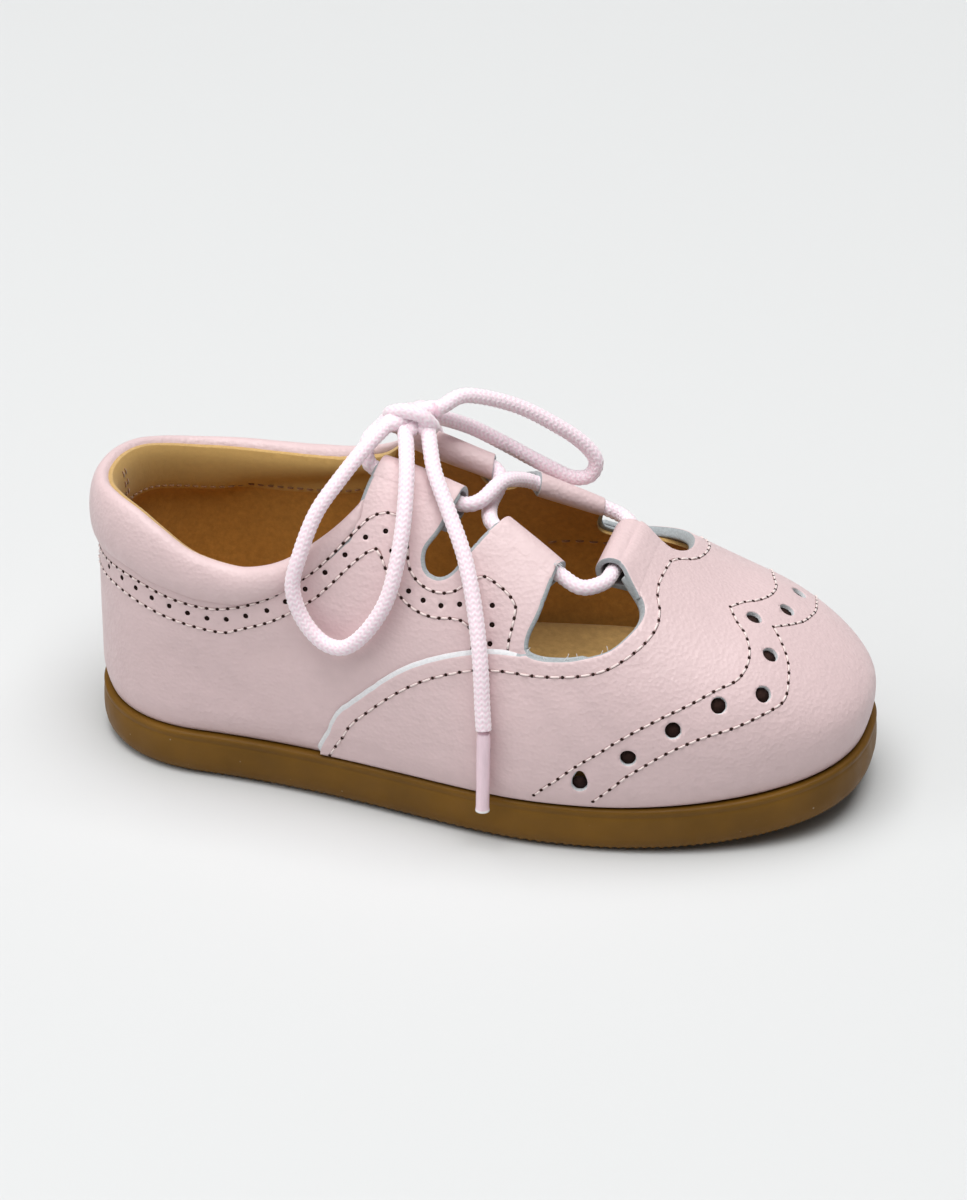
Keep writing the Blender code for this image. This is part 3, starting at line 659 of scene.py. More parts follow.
# Stage: size of the photograph, lights (name, place, size, watts) and the paper's sweep, in metres
PHOTO_SIZE = (967, 1200)
LIGHTS = (
    ("top_softbox", (0.0, 0.1, 2.1), 2.0, 43.0),
    ("front_softbox", (0.0, -0.7, 2.1), 2.0, 24.0),
    ("left_softbox", (-0.9, -0.65, 0.7), 0.7, 3.2),
)
LIGHTS_AIM = (0.0, 0.0, 0.02)
SURROUND_COLOUR = (0.98, 0.99, 1.0, 1.0)
SURROUND_STRENGTH = 0.12
FLOOR_SIZE = 6.0
FLOOR_CELLS = 60
FLOOR_SWEEP = 0.6
FLOOR_SWEEP_FROM = 1.2


def smooth(t):
    """Eased step from 0 to 1."""
    t = np.clip(t, 0.0, 1.0)
    return t * t * (3.0 - 2.0 * t)


def end_cap(t, power):
    """Quarter of a superellipse: 1 at t = 0, falling to 0 at t = 1."""
    return (1.0 - np.clip(t, 0.0, 1.0) ** power) ** (1.0 / power)


def through(table, x):
    """Smooth curve through the rows of a table of (x, value), with no overshoot."""
    xs, ys = np.array(table, float).T
    step = np.diff(xs)
    slope = np.diff(ys) / step
    total = slope[1:] + slope[:-1]
    mean = 2.0 * slope[1:] * slope[:-1] / np.where(total == 0.0, 1.0, total)
    inner = np.where(slope[1:] * slope[:-1] > 0.0, mean, 0.0)
    tangent = np.concatenate(([slope[0]], inner, [slope[-1]]))
    x = np.clip(np.asarray(x, float), xs[0], xs[-1])
    i = np.clip(np.searchsorted(xs, x, side="right") - 1, 0, len(step) - 1)
    t = (x - xs[i]) / step[i]
    start = (1.0 + 2.0 * t) * (1.0 - t) ** 2 * ys[i] + t * (1.0 - t) ** 2 * step[i] * tangent[i]
    end = t * t * (3.0 - 2.0 * t) * ys[i + 1] + t * t * (t - 1.0) * step[i] * tangent[i + 1]
    return start + end


def curve_through(points, steps):
    """Smooth open curve (Catmull-Rom) through a few points, with this many steps between two of them."""
    points = np.array(points, float)
    ends = np.vstack([2.0 * points[0] - points[1], points, 2.0 * points[-1] - points[-2]])
    found = []
    for a, b, c, d in zip(ends[:-3], ends[1:-2], ends[2:-1], ends[3:]):
        for t in np.arange(steps) / steps:
            square, cube = t * t, t * t * t
            bend = (2.0 * a - 5.0 * b + 4.0 * c - d) * square + (3.0 * b - a - 3.0 * c + d) * cube
            found.append(0.5 * (2.0 * b + (c - a) * t + bend))
    found.append(points[-1])
    return np.array(found)


def crowded(start, stop, count):
    """Numbers from start to stop, closer together at both ends."""
    return (start + stop) / 2 - np.cos(np.linspace(0.0, np.pi, count)) * (stop - start) / 2


def reach_along(points):
    """Distance along a run of points, from the first to each of them."""
    return np.concatenate(([0.0], np.cumsum(np.linalg.norm(np.diff(points, axis=0), axis=1))))


def spaced(points, spacing):
    """The same run with its points a whole number of equal steps apart, each near spacing."""
    reach = reach_along(points)
    count = max(2, round(reach[-1] / spacing) + 1)
    wanted = np.linspace(0.0, reach[-1], count)
    return np.stack([np.interp(wanted, reach, column) for column in points.T], axis=-1)


def unit(vectors):
    return vectors / np.maximum(np.linalg.norm(vectors, axis=-1, keepdims=True), 1e-12)


def half_width(x, side, inset, back, front):
    """Half width of the plan outline, moved in by inset, with its ends at back and front."""
    heel = HEEL_HALF_WIDTH - inset
    ball = BALL_HALF_WIDTH[side] - inset
    along = (x - HEEL_WIDE_X) / (BALL_X[side] - HEEL_WIDE_X)
    waist = WAIST[side] * np.sin(np.pi * np.clip(along, 0.0, 1.0)) ** 2
    middle = heel + (ball - heel) * smooth(along) - waist
    heel_end = heel * end_cap((HEEL_WIDE_X - x) / (HEEL_WIDE_X - back), HEEL_POWER)
    toe_end = ball * end_cap((x - BALL_X[side]) / (front - BALL_X[side]), TOE_POWER)
    return np.where(x < HEEL_WIDE_X, heel_end, np.where(x > BALL_X[side], toe_end, middle))


def centre_y(x):
    """Middle line of the outline, which turns inwards at the toe."""
    return TOE_TURN * smooth((x - TOE_TURN_FROM_X) / TOE_TURN_RUN)


def spring(x):
    """Rise of the sole over the floor at the toe and at the back of the heel."""
    half = SOLE_LENGTH / 2
    toe = TOE_SPRING * np.clip((x - TOE_SPRING_X) / (half - TOE_SPRING_X), 0.0, 1.0) ** 2
    heel = HEEL_SPRING * np.clip((HEEL_SPRING_X - x) / (half + HEEL_SPRING_X), 0.0, 1.0) ** 2
    return toe + heel


def arch(x):
    """Shallow rise of the underside between heel and ball."""
    along = np.clip((x - ARCH_FROM_X) / (ARCH_TO_X - ARCH_FROM_X), 0.0, 1.0)
    return ARCH_RISE * np.sin(np.pi * along) ** 2


def upper_inset(x):
    """Distance from the edge of the sole in to the widest line of the upper."""
    heel_to_side = (SIDE_INSET - HEEL_INSET) * smooth((x - UPPER_BACK) / (-UPPER_BACK))
    side_to_toe = (TOE_INSET - SIDE_INSET) * smooth((x - BALL_X[OUTER]) / (UPPER_FRONT - BALL_X[INNER]))
    return HEEL_INSET + heel_to_side + side_to_toe


def station_x(u):
    """Position along the upper for u from 0 at the heel to 1 at the toe, closer together at both ends."""
    return UPPER_MIDDLE - np.cos(np.pi * np.clip(u, 0.0, 1.0)) * UPPER_HALF


def station_u(x):
    return np.arccos(np.clip((UPPER_MIDDLE - x) / UPPER_HALF, -1.0, 1.0)) / np.pi


def upper_half_width(x, side):
    widths = [half_width(x, s, upper_inset(x), UPPER_BACK, UPPER_FRONT) for s in (OUTER, INNER)]
    return np.where(side < 0, widths[0], widths[1])


def widest_z(x):
    return WIDEST_Z + spring(x)


def base_z(x):
    return SOLE_HEIGHT + CLEARANCE + spring(x)


def rise(x):
    """Height of the instep line over the widest line, closing down at the toe."""
    toe = end_cap((x - TOE_CAP_X) / (UPPER_FRONT - TOE_CAP_X), TOE_POWER)
    return (through(RIDGE, x) - widest_z(x)) * toe


def last_point(u, q):
    """Point of the last. q runs round a section: -1 at the outer bottom edge, 0 on the instep, 1 inner."""
    u, q = np.broadcast_arrays(np.asarray(u, float), np.asarray(q, float))
    side = np.where(q < 0.0, OUTER, INNER)
    up = 1.0 - np.abs(q)
    x = station_x(u)
    width = upper_half_width(x, side)
    turn = np.clip((up - WALL_SHARE) / (1.0 - WALL_SHARE), 0.0, 1.0) * np.pi / 2
    round_off = 2.0 / through(SECTION_POWER, x)
    y = width * np.cos(turn) ** round_off
    z = widest_z(x) + rise(x) * np.sin(turn) ** round_off
    low = np.clip(1.0 - up / WALL_SHARE, 0.0, 1.0)
    z = np.where(low > 0.0, widest_z(x) + (base_z(x) - widest_z(x)) * low, z)
    before, after = station_x(u - 1e-4), station_x(u + 1e-4)
    along = after - before
    across = upper_half_width(after, side) - upper_half_width(before, side)
    tuck = TUCK * low**2 / np.maximum(np.hypot(along, across), 1e-12)
    return np.stack([x + tuck * across, centre_y(x) + side * (y - tuck * along), z], axis=-1)


def outward(u, q):
    """Unit normal of the last, taken a little inside its two end points."""
    step = 1e-3
    u = np.clip(u, step, 1.0 - step)
    along = last_point(u + step, q) - last_point(u - step, q)
    around = last_point(u, q + step) - last_point(u, q - step)
    return unit(np.cross(along, around))


def pattern_from_side(x, z, side):
    """Place (u, q) on the pattern of a point seen from the side."""
    x, z = np.asarray(x, float), np.asarray(z, float)
    share = np.clip((z - widest_z(x)) / np.maximum(rise(x), 1e-9), 0.0, 1.0)
    turn = np.arcsin(share ** (through(SECTION_POWER, x) / 2.0))
    up = WALL_SHARE + (1.0 - WALL_SHARE) * turn / (np.pi / 2)
    low = (widest_z(x) - z) / (widest_z(x) - base_z(x))
    return np.stack([station_u(x), side * (1.0 - np.where(low > 0.0, WALL_SHARE * (1.0 - low), up))], axis=-1)


def pattern_from_top(x, y, side):
    """Place (u, q) on the pattern of a point seen from above, y being measured from the middle line."""
    x, y = np.asarray(x, float), np.asarray(y, float)
    share = np.clip(y / upper_half_width(x, side), 0.0, 1.0)
    turn = np.arccos(share ** (through(SECTION_POWER, x) / 2.0))
    return np.stack([station_u(x), side * (1.0 - WALL_SHARE) * (1.0 - turn / (np.pi / 2))], axis=-1)


def tabs_x(x, side):
    """The inner tabs sit a little further forward than the outer ones."""
    if side == OUTER:
        return x
    fade = smooth((x - FORWARD_FROM_X) / FORWARD_RUN) * (1.0 - smooth((x - BACK_FROM_X) / BACK_RUN))
    return x + INNER_TABS_FORWARD * fade


def side_places(table, side, column=1):
    """Pattern places of rows of (x, z), on one side of the shoe."""
    rows = np.array(table, float)
    return pattern_from_side(tabs_x(rows[:, 0], side), rows[:, column], side)


def heel_x(away):
    """Where the back of the heel is, this far from its middle line."""
    share = end_cap(away / (HEEL_HALF_WIDTH - HEEL_INSET), HEEL_POWER)
    return HEEL_WIDE_X - share * (HEEL_WIDE_X - UPPER_BACK)


def band_places(table, aways, side):
    """Pattern places of rows of (x, z), begun round the heel and lowered where the inner rim is lower."""
    round_heel = [(heel_x(away), table[0][1]) for away in aways]
    rows = np.array([*round_heel, *table])
    if side == INNER:
        rim = np.array(COLLAR)
        fall = through(rim[:, [0, 1]], rows[:, 0]) - through(rim[:, [0, 2]], rows[:, 0])
        rows[:, 1] -= np.maximum(fall, 0.0)
    return side_places(rows, side)


def top_places(table, side):
    rows = np.array(table, float)
    return pattern_from_top(rows[:, 0], rows[:, 1], side)


def tip_places(table, side):
    """Pattern places of rows of (x, distance from the wing tip's line)."""
    rows = np.array(table, float)
    across = side * rows[:, 1] + TIP_SHIFT * (1.0 - (rows[:, 1] / TIP_HALF_WIDTH) ** 2)
    return pattern_from_top(rows[:, 0], np.abs(across), np.where(across < 0.0, OUTER, INNER))


def collar_places(side, drop):
    """Pattern places along the collar rim, lowered by drop, from the heel to the rear tab."""
    rows = np.array(COLLAR, float)
    rows[:, 1:] -= drop
    return side_places(rows, side, 1 if side == OUTER else 2)


def tab_axis(name, side):
    """Ends of the axis of one rolled tab."""
    start, stop = np.array({"rear": REAR_TAB, "front": FRONT_TAB}[name])
    if side == INNER:
        start, stop = (point * (1.0, -1.0, 1.0) + (INNER_TABS_FORWARD, 0.0, 0.0) for point in (start, stop))
    return start, stop


def fold_places(name, side, shares):
    """Pattern places of the line where a tab's leather leaves the last to go round its tube."""
    start, stop = tab_axis(name, side)
    found = []
    for share in shares:
        axis = start + (stop - start) * share
        q = side * np.linspace(0.02, 0.6, 400)
        u = np.full_like(q, station_u(axis[0]))
        nearest = np.argmin(np.linalg.norm(last_point(u, q) - axis, axis=-1))
        found.append((u[nearest], q[nearest]))
    return np.array(found)


def throat_runs(side, drop, forward=0.0):
    """Runs of one side of the top edge: collar, rear fold, keyhole, front fold and side opening."""
    shares = np.linspace(0.0, 1.0, 9)
    rear, front = fold_places("rear", side, shares), fold_places("front", side, shares)
    collar = curve_through(collar_places(side, drop)[:-1], CURVE_STEPS)
    notch = curve_through(np.vstack([rear[-1:], side_places(NOTCH, side), front[:1]]), CURVE_STEPS)
    ahead = np.array(OPENING_FRONT[side]) + (forward, 0.0)
    opening = np.vstack([front[-1:], side_places(OPENING_REAR, side), top_places(ahead, side)])
    return collar, rear, notch, front, curve_through(opening, CURVE_STEPS)


def throat_outline(drop, forward=0.0):
    """Closed outline, on the pattern, of all that is cut away over the collar and the throat."""
    edges = []
    for side in (OUTER, INNER):
        collar, rear, notch, front, opening = throat_runs(side, drop, forward)
        edges.append(np.vstack([collar, rear, notch[1:-1], front, opening[1:]]))
    outer, inner = edges
    behind_heel = [(PAST_COLLAR, inner[0, 1]), (PAST_COLLAR, outer[0, 1])]
    return np.vstack([outer, inner[::-1], behind_heel])


def edge_from_sole(table, side):
    """Run of a cut edge given from the sole up, begun past the pattern's lower edge."""
    edge = curve_through(side_places(table, side), CURVE_STEPS)
    edge[0, 1] = side * PAST_SOLE
    return edge


def closed_past(end, outer, inner):
    """Closed outline from an edge on each side and the two corners of the pattern past one end."""
    return np.vstack([outer, inner[::-1], [(end, INNER * PAST_SOLE), (end, OUTER * PAST_SOLE)]])


def behind_wing_outline():
    """Closed outline, on the pattern, of all that lies behind the wing vamp."""
    sides = []
    for side in (OUTER, INNER):
        across = side_places(WING_ACROSS_THROAT, side)
        tab = top_places([(WING_TAB_X, WING_TAB_HALF_WIDTH)], side)
        sides.append(np.vstack([edge_from_sole(WING_EDGE, side), across, tab]))
    return closed_past(PAST_HEEL, *sides)


def before_quarter_outline():
    """Closed outline, on the pattern, of all that lies in front of the quarters."""
    return closed_past(PAST_TOE, *(edge_from_sole(QUARTER_FRONT, side) for side in (OUTER, INNER)))


def punch_places():
    """Pattern places of the punched holes, the middle one of the toe only once."""
    rows = np.array(FLANK_PUNCHES)
    found = [tip_places(TOE_PUNCHES, OUTER), tip_places(TOE_PUNCHES[1:], INNER)]
    found += [pattern_from_side(rows[:, 0], rows[:, 1], side) for side in (OUTER, INNER)]
    return np.vstack(found)


def edge_widths(places, cut, holes, radius):
    """Width of the raw edge at each place of a cut pattern, and which places lie on the rim of a hole."""
    q = np.clip(places[:, 1], -1.0, 1.0)
    points, centres = last_point(places[:, 0], q), last_point(holes[:, 0], holes[:, 1])
    gaps = np.full(len(points), np.inf)
    for centre in centres:
        gaps = np.minimum(gaps, np.linalg.norm(points - centre, axis=-1))
    at_hole = gaps < radius + HOLE_RIM
    wide = np.where(at_hole, HOLE_EDGE, cut)
    return np.where(np.abs(q) > AT_SOLE, SOLE_EDGE_WIDTH, wide), at_hole


def lining_offsets(u, q, thickness):
    """Offsets from the last of the lining's two faces, and the distance below the rim."""
    distance, height = below_rim(u, q)
    at = np.clip((distance - height / 2) / (height / 2), -1.0, 1.0)
    x = station_x(u)
    in_collar = smooth((ROLL_START_X - x + BULGE_BEGINS) / BULGE_RUN)
    bulge = (ROLL_HALF_WIDTH - LINING_IN_ROLL) * np.sqrt(1.0 - at**2) * in_collar
    outer = np.minimum(-thickness - LINING_GAP, ROLL_OUTWARD - WALL / 2 - bulge)
    distance = distance + 2.0 * BAND_DEPTH * smooth((x - ROLL_START_X + BAND_ENDS) / BAND_END_RUN)
    band = BAND_THICKNESS * smooth(BAND_DEPTH + BAND_STEP - distance)
    return outer, outer - LINING_THICKNESS - band, distance


def hole_outlines(places, diameter, sides):
    """Outlines, on the pattern, of holes that are round on the last."""
    step = 1e-3
    turns = np.arange(sides) * 2.0 * np.pi / sides
    outlines = []
    for u, q in places:
        along = (last_point(u + step, q) - last_point(u - step, q)) / (2.0 * step)
        around = (last_point(u, q + step) - last_point(u, q - step)) / (2.0 * step)
        first = unit(along)
        second = np.cross(outward(u, q), first)
        ring = diameter / 2 * (np.outer(first, np.cos(turns)) + np.outer(second, np.sin(turns)))
        moves = np.linalg.lstsq(np.stack([along, around], axis=1), ring, rcond=None)[0]
        outlines.append(np.array([u, q]) + moves.T)
    return outlines


def below_rim(u, q):
    """Distance down the last from the collar rim, and the height of the roll there."""
    distance = np.empty_like(u)
    for side in (OUTER, INNER):
        run = curve_through(collar_places(side, 0.0), CURVE_STEPS)
        here = (q < 0.0) == (side == OUTER)
        rim = np.interp(u[here], run[:, 0], run[:, 1])
        gap = np.linalg.norm(last_point(u[here], q[here]) - last_point(u[here], rim), axis=-1)
        distance[here] = gap * np.sign(np.abs(q[here]) - np.abs(rim))
    return distance, through(ROLL_HEIGHT, station_x(u))


def crease_depth(u, q):
    """Soft troughs and ridges of the worn leather, in millimetres along the normal."""
    points = last_point(u, q)
    depth = np.zeros(len(points))
    for side, start, stop, width, trough in CREASES:
        line = np.array([start, stop])
        places = curve_through(side_places(np.linspace(line[0], line[1], 5), side), 6)
        run = last_point(places[:, 0], places[:, 1])
        gaps = np.linalg.norm(points[:, None, :] - run[None, :, :], axis=-1).min(axis=1) / width
        depth += trough * (CREASE_BANK * gaps**2 - 1.0) * np.exp(-(gaps**2))
    return depth


def deselect():
    if bpy.context.mode != "OBJECT":
        bpy.ops.object.mode_set(mode="OBJECT")
    bpy.ops.object.select_all(action="DESELECT")


def choose(obj):
    """Makes an object the active one and the only one selected."""
    deselect()
    obj.select_set(True)
    bpy.context.view_layer.objects.active = obj


def new_piece(name, points, faces, finishes, of_face=None, marks=None):
    """New mesh object in millimetres, with its finishes, smooth shading and numbers marked on its points."""
    mesh = bpy.data.meshes.new(name)
    mesh.from_pydata((np.asarray(points) * MM).tolist(), [], [tuple(int(i) for i in face) for face in faces])
    for finish in finishes:
        mesh.materials.append(finish)
    if of_face is not None:
        mesh.polygons.foreach_set("material_index", np.asarray(of_face, np.int32))
    for mark, values in (marks or {}).items():
        mesh.attributes.new(mark, "FLOAT", "POINT").data.foreach_set("value", np.asarray(values, np.float32))
    mesh.shade_smooth()
    obj = bpy.data.objects.new(name, mesh)
    bpy.context.scene.collection.objects.link(obj)
    return obj


def clean_up(obj, merge=0.02):
    """Closes seams and poles, then turns all faces outwards."""
    choose(obj)
    bpy.ops.object.mode_set(mode="EDIT")
    bpy.ops.mesh.select_all(action="SELECT")
    bpy.ops.mesh.remove_doubles(threshold=merge * MM)
    bpy.ops.mesh.dissolve_degenerate(threshold=merge * MM)
    bpy.ops.mesh.select_all(action="SELECT")
    bpy.ops.mesh.normals_make_consistent(inside=False)
    bpy.ops.object.mode_set(mode="OBJECT")
    obj.select_set(False)


def settle(obj, slot, *nodes):
    """Lets a finished piece ride on the shoe, and stand for these nodes."""
    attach(obj, BODY)
    if nodes:
        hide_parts(*nodes)


def outline_cutter(name, outlines):
    """Cutter on the flat pattern: a filled flat curve extruded both ways and made a mesh."""
    curve = bpy.data.curves.new(name, "CURVE")
    curve.dimensions = "2D"
    curve.fill_mode = "BOTH"
    curve.extrude = CUTTER_DEPTH * MM
    for places in outlines:
        spline = curve.splines.new("POLY")
        spline.points.add(len(places) - 1)
        for point, (u, q) in zip(spline.points, places):
            point.co = (u * PATTERN_LENGTH * MM, q * PATTERN_HALF_GIRTH * MM, 0.0, 1.0)
        spline.use_cyclic_u = True
    cutter = bpy.data.objects.new(name, curve)
    bpy.context.scene.collection.objects.link(cutter)
    choose(cutter)
    bpy.ops.object.convert(target="MESH")
    cutter = bpy.context.view_layer.objects.active
    clean_up(cutter, 1e-3)
    return cutter


def cut_pattern(columns, rows, outlines):
    """Flat leather of the whole upper with the outlines cut out: places (u, q) and faces."""
    deselect()
    bpy.ops.mesh.primitive_grid_add(x_subdivisions=columns, y_subdivisions=rows, size=1.0)
    flat = bpy.context.object
    for vertex in flat.data.vertices:
        vertex.co.x = (vertex.co.x + 0.5) * PATTERN_LENGTH * MM
        vertex.co.y *= 2.0 * PATTERN_HALF_GIRTH * MM
    for group in outlines:
        cutter = outline_cutter("pattern_cutter", group)
        cut = flat.modifiers.new("cut", "BOOLEAN")
        cut.operation = "DIFFERENCE"
        cut.solver = "EXACT"
        cut.object = cutter
        choose(flat)
        bpy.ops.object.modifier_apply(modifier=cut.name)
        bpy.data.objects.remove(cutter)
    bpy.ops.object.mode_set(mode="EDIT")
    bpy.ops.mesh.select_all(action="SELECT")
    bpy.ops.mesh.remove_doubles(threshold=0.1 * MM)
    bpy.ops.object.mode_set(mode="OBJECT")
    bm = bmesh.new()
    bm.from_mesh(flat.data)
    on_edge = [face for face in bm.faces if len(face.verts) > 4 or any(v.is_boundary for v in face.verts)]
    bmesh.ops.triangulate(bm, faces=on_edge)
    places = np.array([(v.co.x, v.co.y) for v in bm.verts]) / (PATTERN_LENGTH * MM, PATTERN_HALF_GIRTH * MM)
    bm.verts.index_update()
    faces = [[v.index for v in face.verts] for face in bm.faces]
    bm.free()
    bpy.data.objects.remove(flat)
    return places, faces


def wrap_leather(name, pattern, near, far, reach, finishes, width, other=None, marks=None):
    """Layer of leather wrapped between two offsets from the last, with sloping raw edges of this width.

    The finishes are those of the outer face, the inner face, the raw edge and the raw edge at the other
    places.
    """
    places, faces = pattern
    u, q = places[:, 0], np.clip(places[:, 1], -reach, reach)
    points, normals = last_point(u, q), outward(u, q)
    near, far = near + np.zeros(len(u)), far + np.zeros(len(u))
    uses = Counter()
    owner = {}
    for face in faces:
        for a, b in zip(face, face[1:] + face[:1]):
            key = (min(a, b), max(a, b))
            uses[key] += 1
            owner[key] = face
    on_seam = (u < 1e-5) | (u > 1.0 - 1e-5)
    rim = [key for key, count in uses.items() if count == 1 and not (on_seam[key[0]] and on_seam[key[1]])]
    beyond = np.zeros((len(u), 3))
    for a, b in rim:
        run = unit(points[b] - points[a])
        away = (points[a] + points[b]) / 2 - points[owner[(a, b)]].mean(axis=0)
        away = away - run * (away @ run) - normals[a] * (away @ normals[a])
        beyond[a] += unit(away)
        beyond[b] += unit(away)
    beyond = unit(beyond) * (width + np.zeros(len(u)))[:, None]
    edge = np.array(sorted({i for key in rim for i in key}), int)
    outside = points + normals * far[:, None]
    inside = points + normals * near[:, None]
    deep = normals * (far - near)[:, None]
    rings = [(outside + beyond * out - deep * depth)[edge] for out, depth in EDGE_PROFILE]
    rings.append((inside + beyond * EDGE_FOOT_WIDTH + deep * EDGE_FOOT_RISE)[edge])
    count = len(u)
    vertices = [outside, inside, *rings]
    at = np.full(count, -1)
    at[edge] = np.arange(len(edge))
    levels = [np.arange(count)]
    levels += [2 * count + k * len(edge) + at for k in range(len(rings))]
    levels.append(count + np.arange(count))
    all_faces = [list(face) for face in faces] + [[count + i for i in face[::-1]] for face in faces]
    kinds = [0] * len(faces) + [1] * len(faces)
    for a, b in rim:
        wall = 2 if other is None or not other[a] else 3
        for level, (upper, lower) in enumerate(zip(levels[:-1], levels[1:])):
            all_faces.append([upper[b], upper[a], lower[a], lower[b]])
            kinds.append(0 if level == 0 else wall)
    spread = {key: np.concatenate([v, v, *[v[edge]] * len(rings)]) for key, v in (marks or {}).items()}
    piece = new_piece(name, np.vstack(vertices), all_faces, finishes, kinds, spread)
    clean_up(piece)
    return piece


def ring_faces(rings, sides, closed=False):
    """Faces between rings of points, and from the last ring to the first where closed."""
    faces = []
    for i in range(rings if closed else rings - 1):
        for j in range(sides):
            k, m = (j + 1) % sides, (i + 1) % rings
            faces.append((i * sides + j, i * sides + k, m * sides + k, m * sides + j))
    return faces


def end_fans(rings, sides):
    """Faces that close the first and the last ring, from two more points in their middles."""
    faces = []
    last = (rings - 1) * sides
    for j in range(sides):
        k = (j + 1) % sides
        faces += [(rings * sides, k, j), (rings * sides + 1, last + j, last + k)]
    return faces


def tube(points, radius, sides, closed=False):
    """Vertices and faces of a tube along points, with radius(reach, angles) at each ring and closed ends."""
    points = np.asarray(points, float)
    count = len(points)
    ahead = np.roll(points, -1, axis=0) - np.roll(points, 1, axis=0)
    if not closed:
        ahead[0], ahead[-1] = points[1] - points[0], points[-1] - points[-2]
    ahead = unit(ahead)
    across = unit(np.cross(ahead[0], (0.3, 0.2, 1.0)))
    reach = reach_along(points)
    turns = np.arange(sides) * 2.0 * np.pi / sides
    rings = []
    for i in range(count):
        across = unit(across - ahead[i] * (across @ ahead[i]))
        up = np.cross(ahead[i], across)
        ring = np.outer(np.cos(turns), across) + np.outer(np.sin(turns), up)
        rings.append(points[i] + ring * np.reshape(radius(reach[i], turns), (-1, 1)))
    faces = ring_faces(count, sides, closed)
    if closed:
        return np.vstack(rings), faces
    return np.vstack([*rings, points[:1], points[-1:]]), faces + end_fans(count, sides)


def joined(parts):
    """One list of vertices and one of faces from several."""
    vertices, faces, start = [], [], 0
    for points, polygons in parts:
        vertices.append(points)
        faces += [tuple(start + i for i in polygon) for polygon in polygons]
        start += len(points)
    return np.vstack(vertices), faces


def new_finish(name, roughness, **fixed):
    """Principled material with these fixed sockets: the material, its shader and its object coordinates."""
    material = bpy.data.materials.new(name)
    material.use_nodes = True
    shader = material.node_tree.nodes["Principled BSDF"]
    shader.inputs["Roughness"].default_value = roughness
    for socket, value in fixed.items():
        shader.inputs[socket.replace("_", " ")].default_value = value
    place = material.node_tree.nodes.new("ShaderNodeTexCoord").outputs["Object"]
    return material, shader, place


def add_node(material, kind, settings=None, **inputs):
    """Node with its settings, and with inputs that are values or outputs of other nodes."""
    node = material.node_tree.nodes.new(kind)
    for key, value in (settings or {}).items():
        setattr(node, key, value)
    for key, value in inputs.items():
        numbered = key[0] == "i" and key[1:].isdigit()
        socket = node.inputs[int(key[1:]) if numbered else key.replace("_", " ")]
        if isinstance(value, bpy.types.NodeSocket):
            material.node_tree.links.new(value, socket)
        else:
            socket.default_value = value
    return node


def stretched(material, place, scale):
    """Coordinates stretched by a Mapping node."""
    return add_node(material, "ShaderNodeMapping", Vector=place, Scale=scale).outputs["Vector"]


def noise(material, place, scale, detail=3.0, roughness=0.55):
    return add_node(
        material, "ShaderNodeTexNoise", Vector=place, Scale=scale, Detail=detail, Roughness=roughness
    ).outputs["Fac"]


def cells(material, place, scale):
    return add_node(material, "ShaderNodeTexVoronoi", Vector=place, Scale=scale).outputs["Distance"]


def between(material, value, low, high, start=0.0, stop=1.0):
    """Value mapped from low..high onto start..stop, clamped."""
    node = add_node(material, "ShaderNodeMapRange", Value=value)
    for socket, number in zip(("From Min", "From Max", "To Min", "To Max"), (low, high, start, stop)):
        node.inputs[socket].default_value = number
    return node.outputs["Result"]


def blended(material, share, first, second):
    """Colour mixed from two by share."""
    node = add_node(material, "ShaderNodeMix", {"data_type": "RGBA"}, i0=share)
    for index, colour in ((6, first), (7, second)):
        if isinstance(colour, bpy.types.NodeSocket):
            material.node_tree.links.new(colour, node.inputs[index])
        else:
            node.inputs[index].default_value = (*tuple(colour)[:3], 1.0)
    return node.outputs[2]


def bumped(material, height, distance, strength, below=None):
    """Normal from a height, over an earlier one where given."""
    node = add_node(material, "ShaderNodeBump", Height=height, Distance=distance * MM, Strength=strength)
    if below is not None:
        material.node_tree.links.new(below, node.inputs["Normal"])
    return node.outputs["Normal"]


def wire(material, shader, **outputs):
    for socket, output in outputs.items():
        material.node_tree.links.new(output, shader.inputs[socket.replace("_", " ")])


def marked(material, name):
    """Number marked on the points of a mesh."""
    return add_node(material, "ShaderNodeAttribute", {"attribute_name": name}).outputs["Fac"]


def shade(colour, factor):
    return tuple(channel * factor for channel in tuple(colour)[:3])


def leather_finish(name, colour):
    """Smooth-grained leather: fine pebbled grain, small wrinkles and a little soil."""
    material, shader, place = new_finish(
        name, 0.45, Coat_Weight=0.06, Coat_Roughness=0.3, Specular_IOR_Level=0.36
    )
    cloud = noise(material, place, 38.0, 4.0)
    mottle = noise(material, place, 420.0, 3.0)
    soil = between(material, noise(material, place, 95.0, 6.0, 0.7), 0.58, 0.78)
    tone = blended(material, between(material, cloud, 0.3, 0.7), shade(colour, 0.955), shade(colour, 1.03))
    tone = blended(material, between(material, mottle, 0.35, 0.7, 0.0, 0.35), tone, shade(colour, 0.9))
    tone = blended(material, between(material, soil, 0.0, 1.0, 0.0, 0.25), tone, shade(colour, 0.78))
    grain = cells(material, place, 1350.0)
    fine = noise(material, place, 2600.0, 2.0)
    wrinkle = noise(material, stretched(material, place, (1.0, 1.6, 2.4)), 190.0, 4.0, 0.6)
    slack = stretched(material, place, (0.6, 1.0, 1.8))
    folds = noise(material, slack, 420.0, 3.0, 0.6)
    normal = bumped(material, wrinkle, 0.45, 0.28)
    normal = bumped(material, folds, 0.16, 0.4, normal)
    normal = bumped(material, grain, 0.12, 0.6, normal)
    normal = bumped(material, fine, 0.04, 0.3, normal)
    rough = between(material, mottle, 0.3, 0.7, 0.38, 0.54)
    wire(material, shader, Base_Color=tone, Roughness=rough, Normal=normal)
    return material


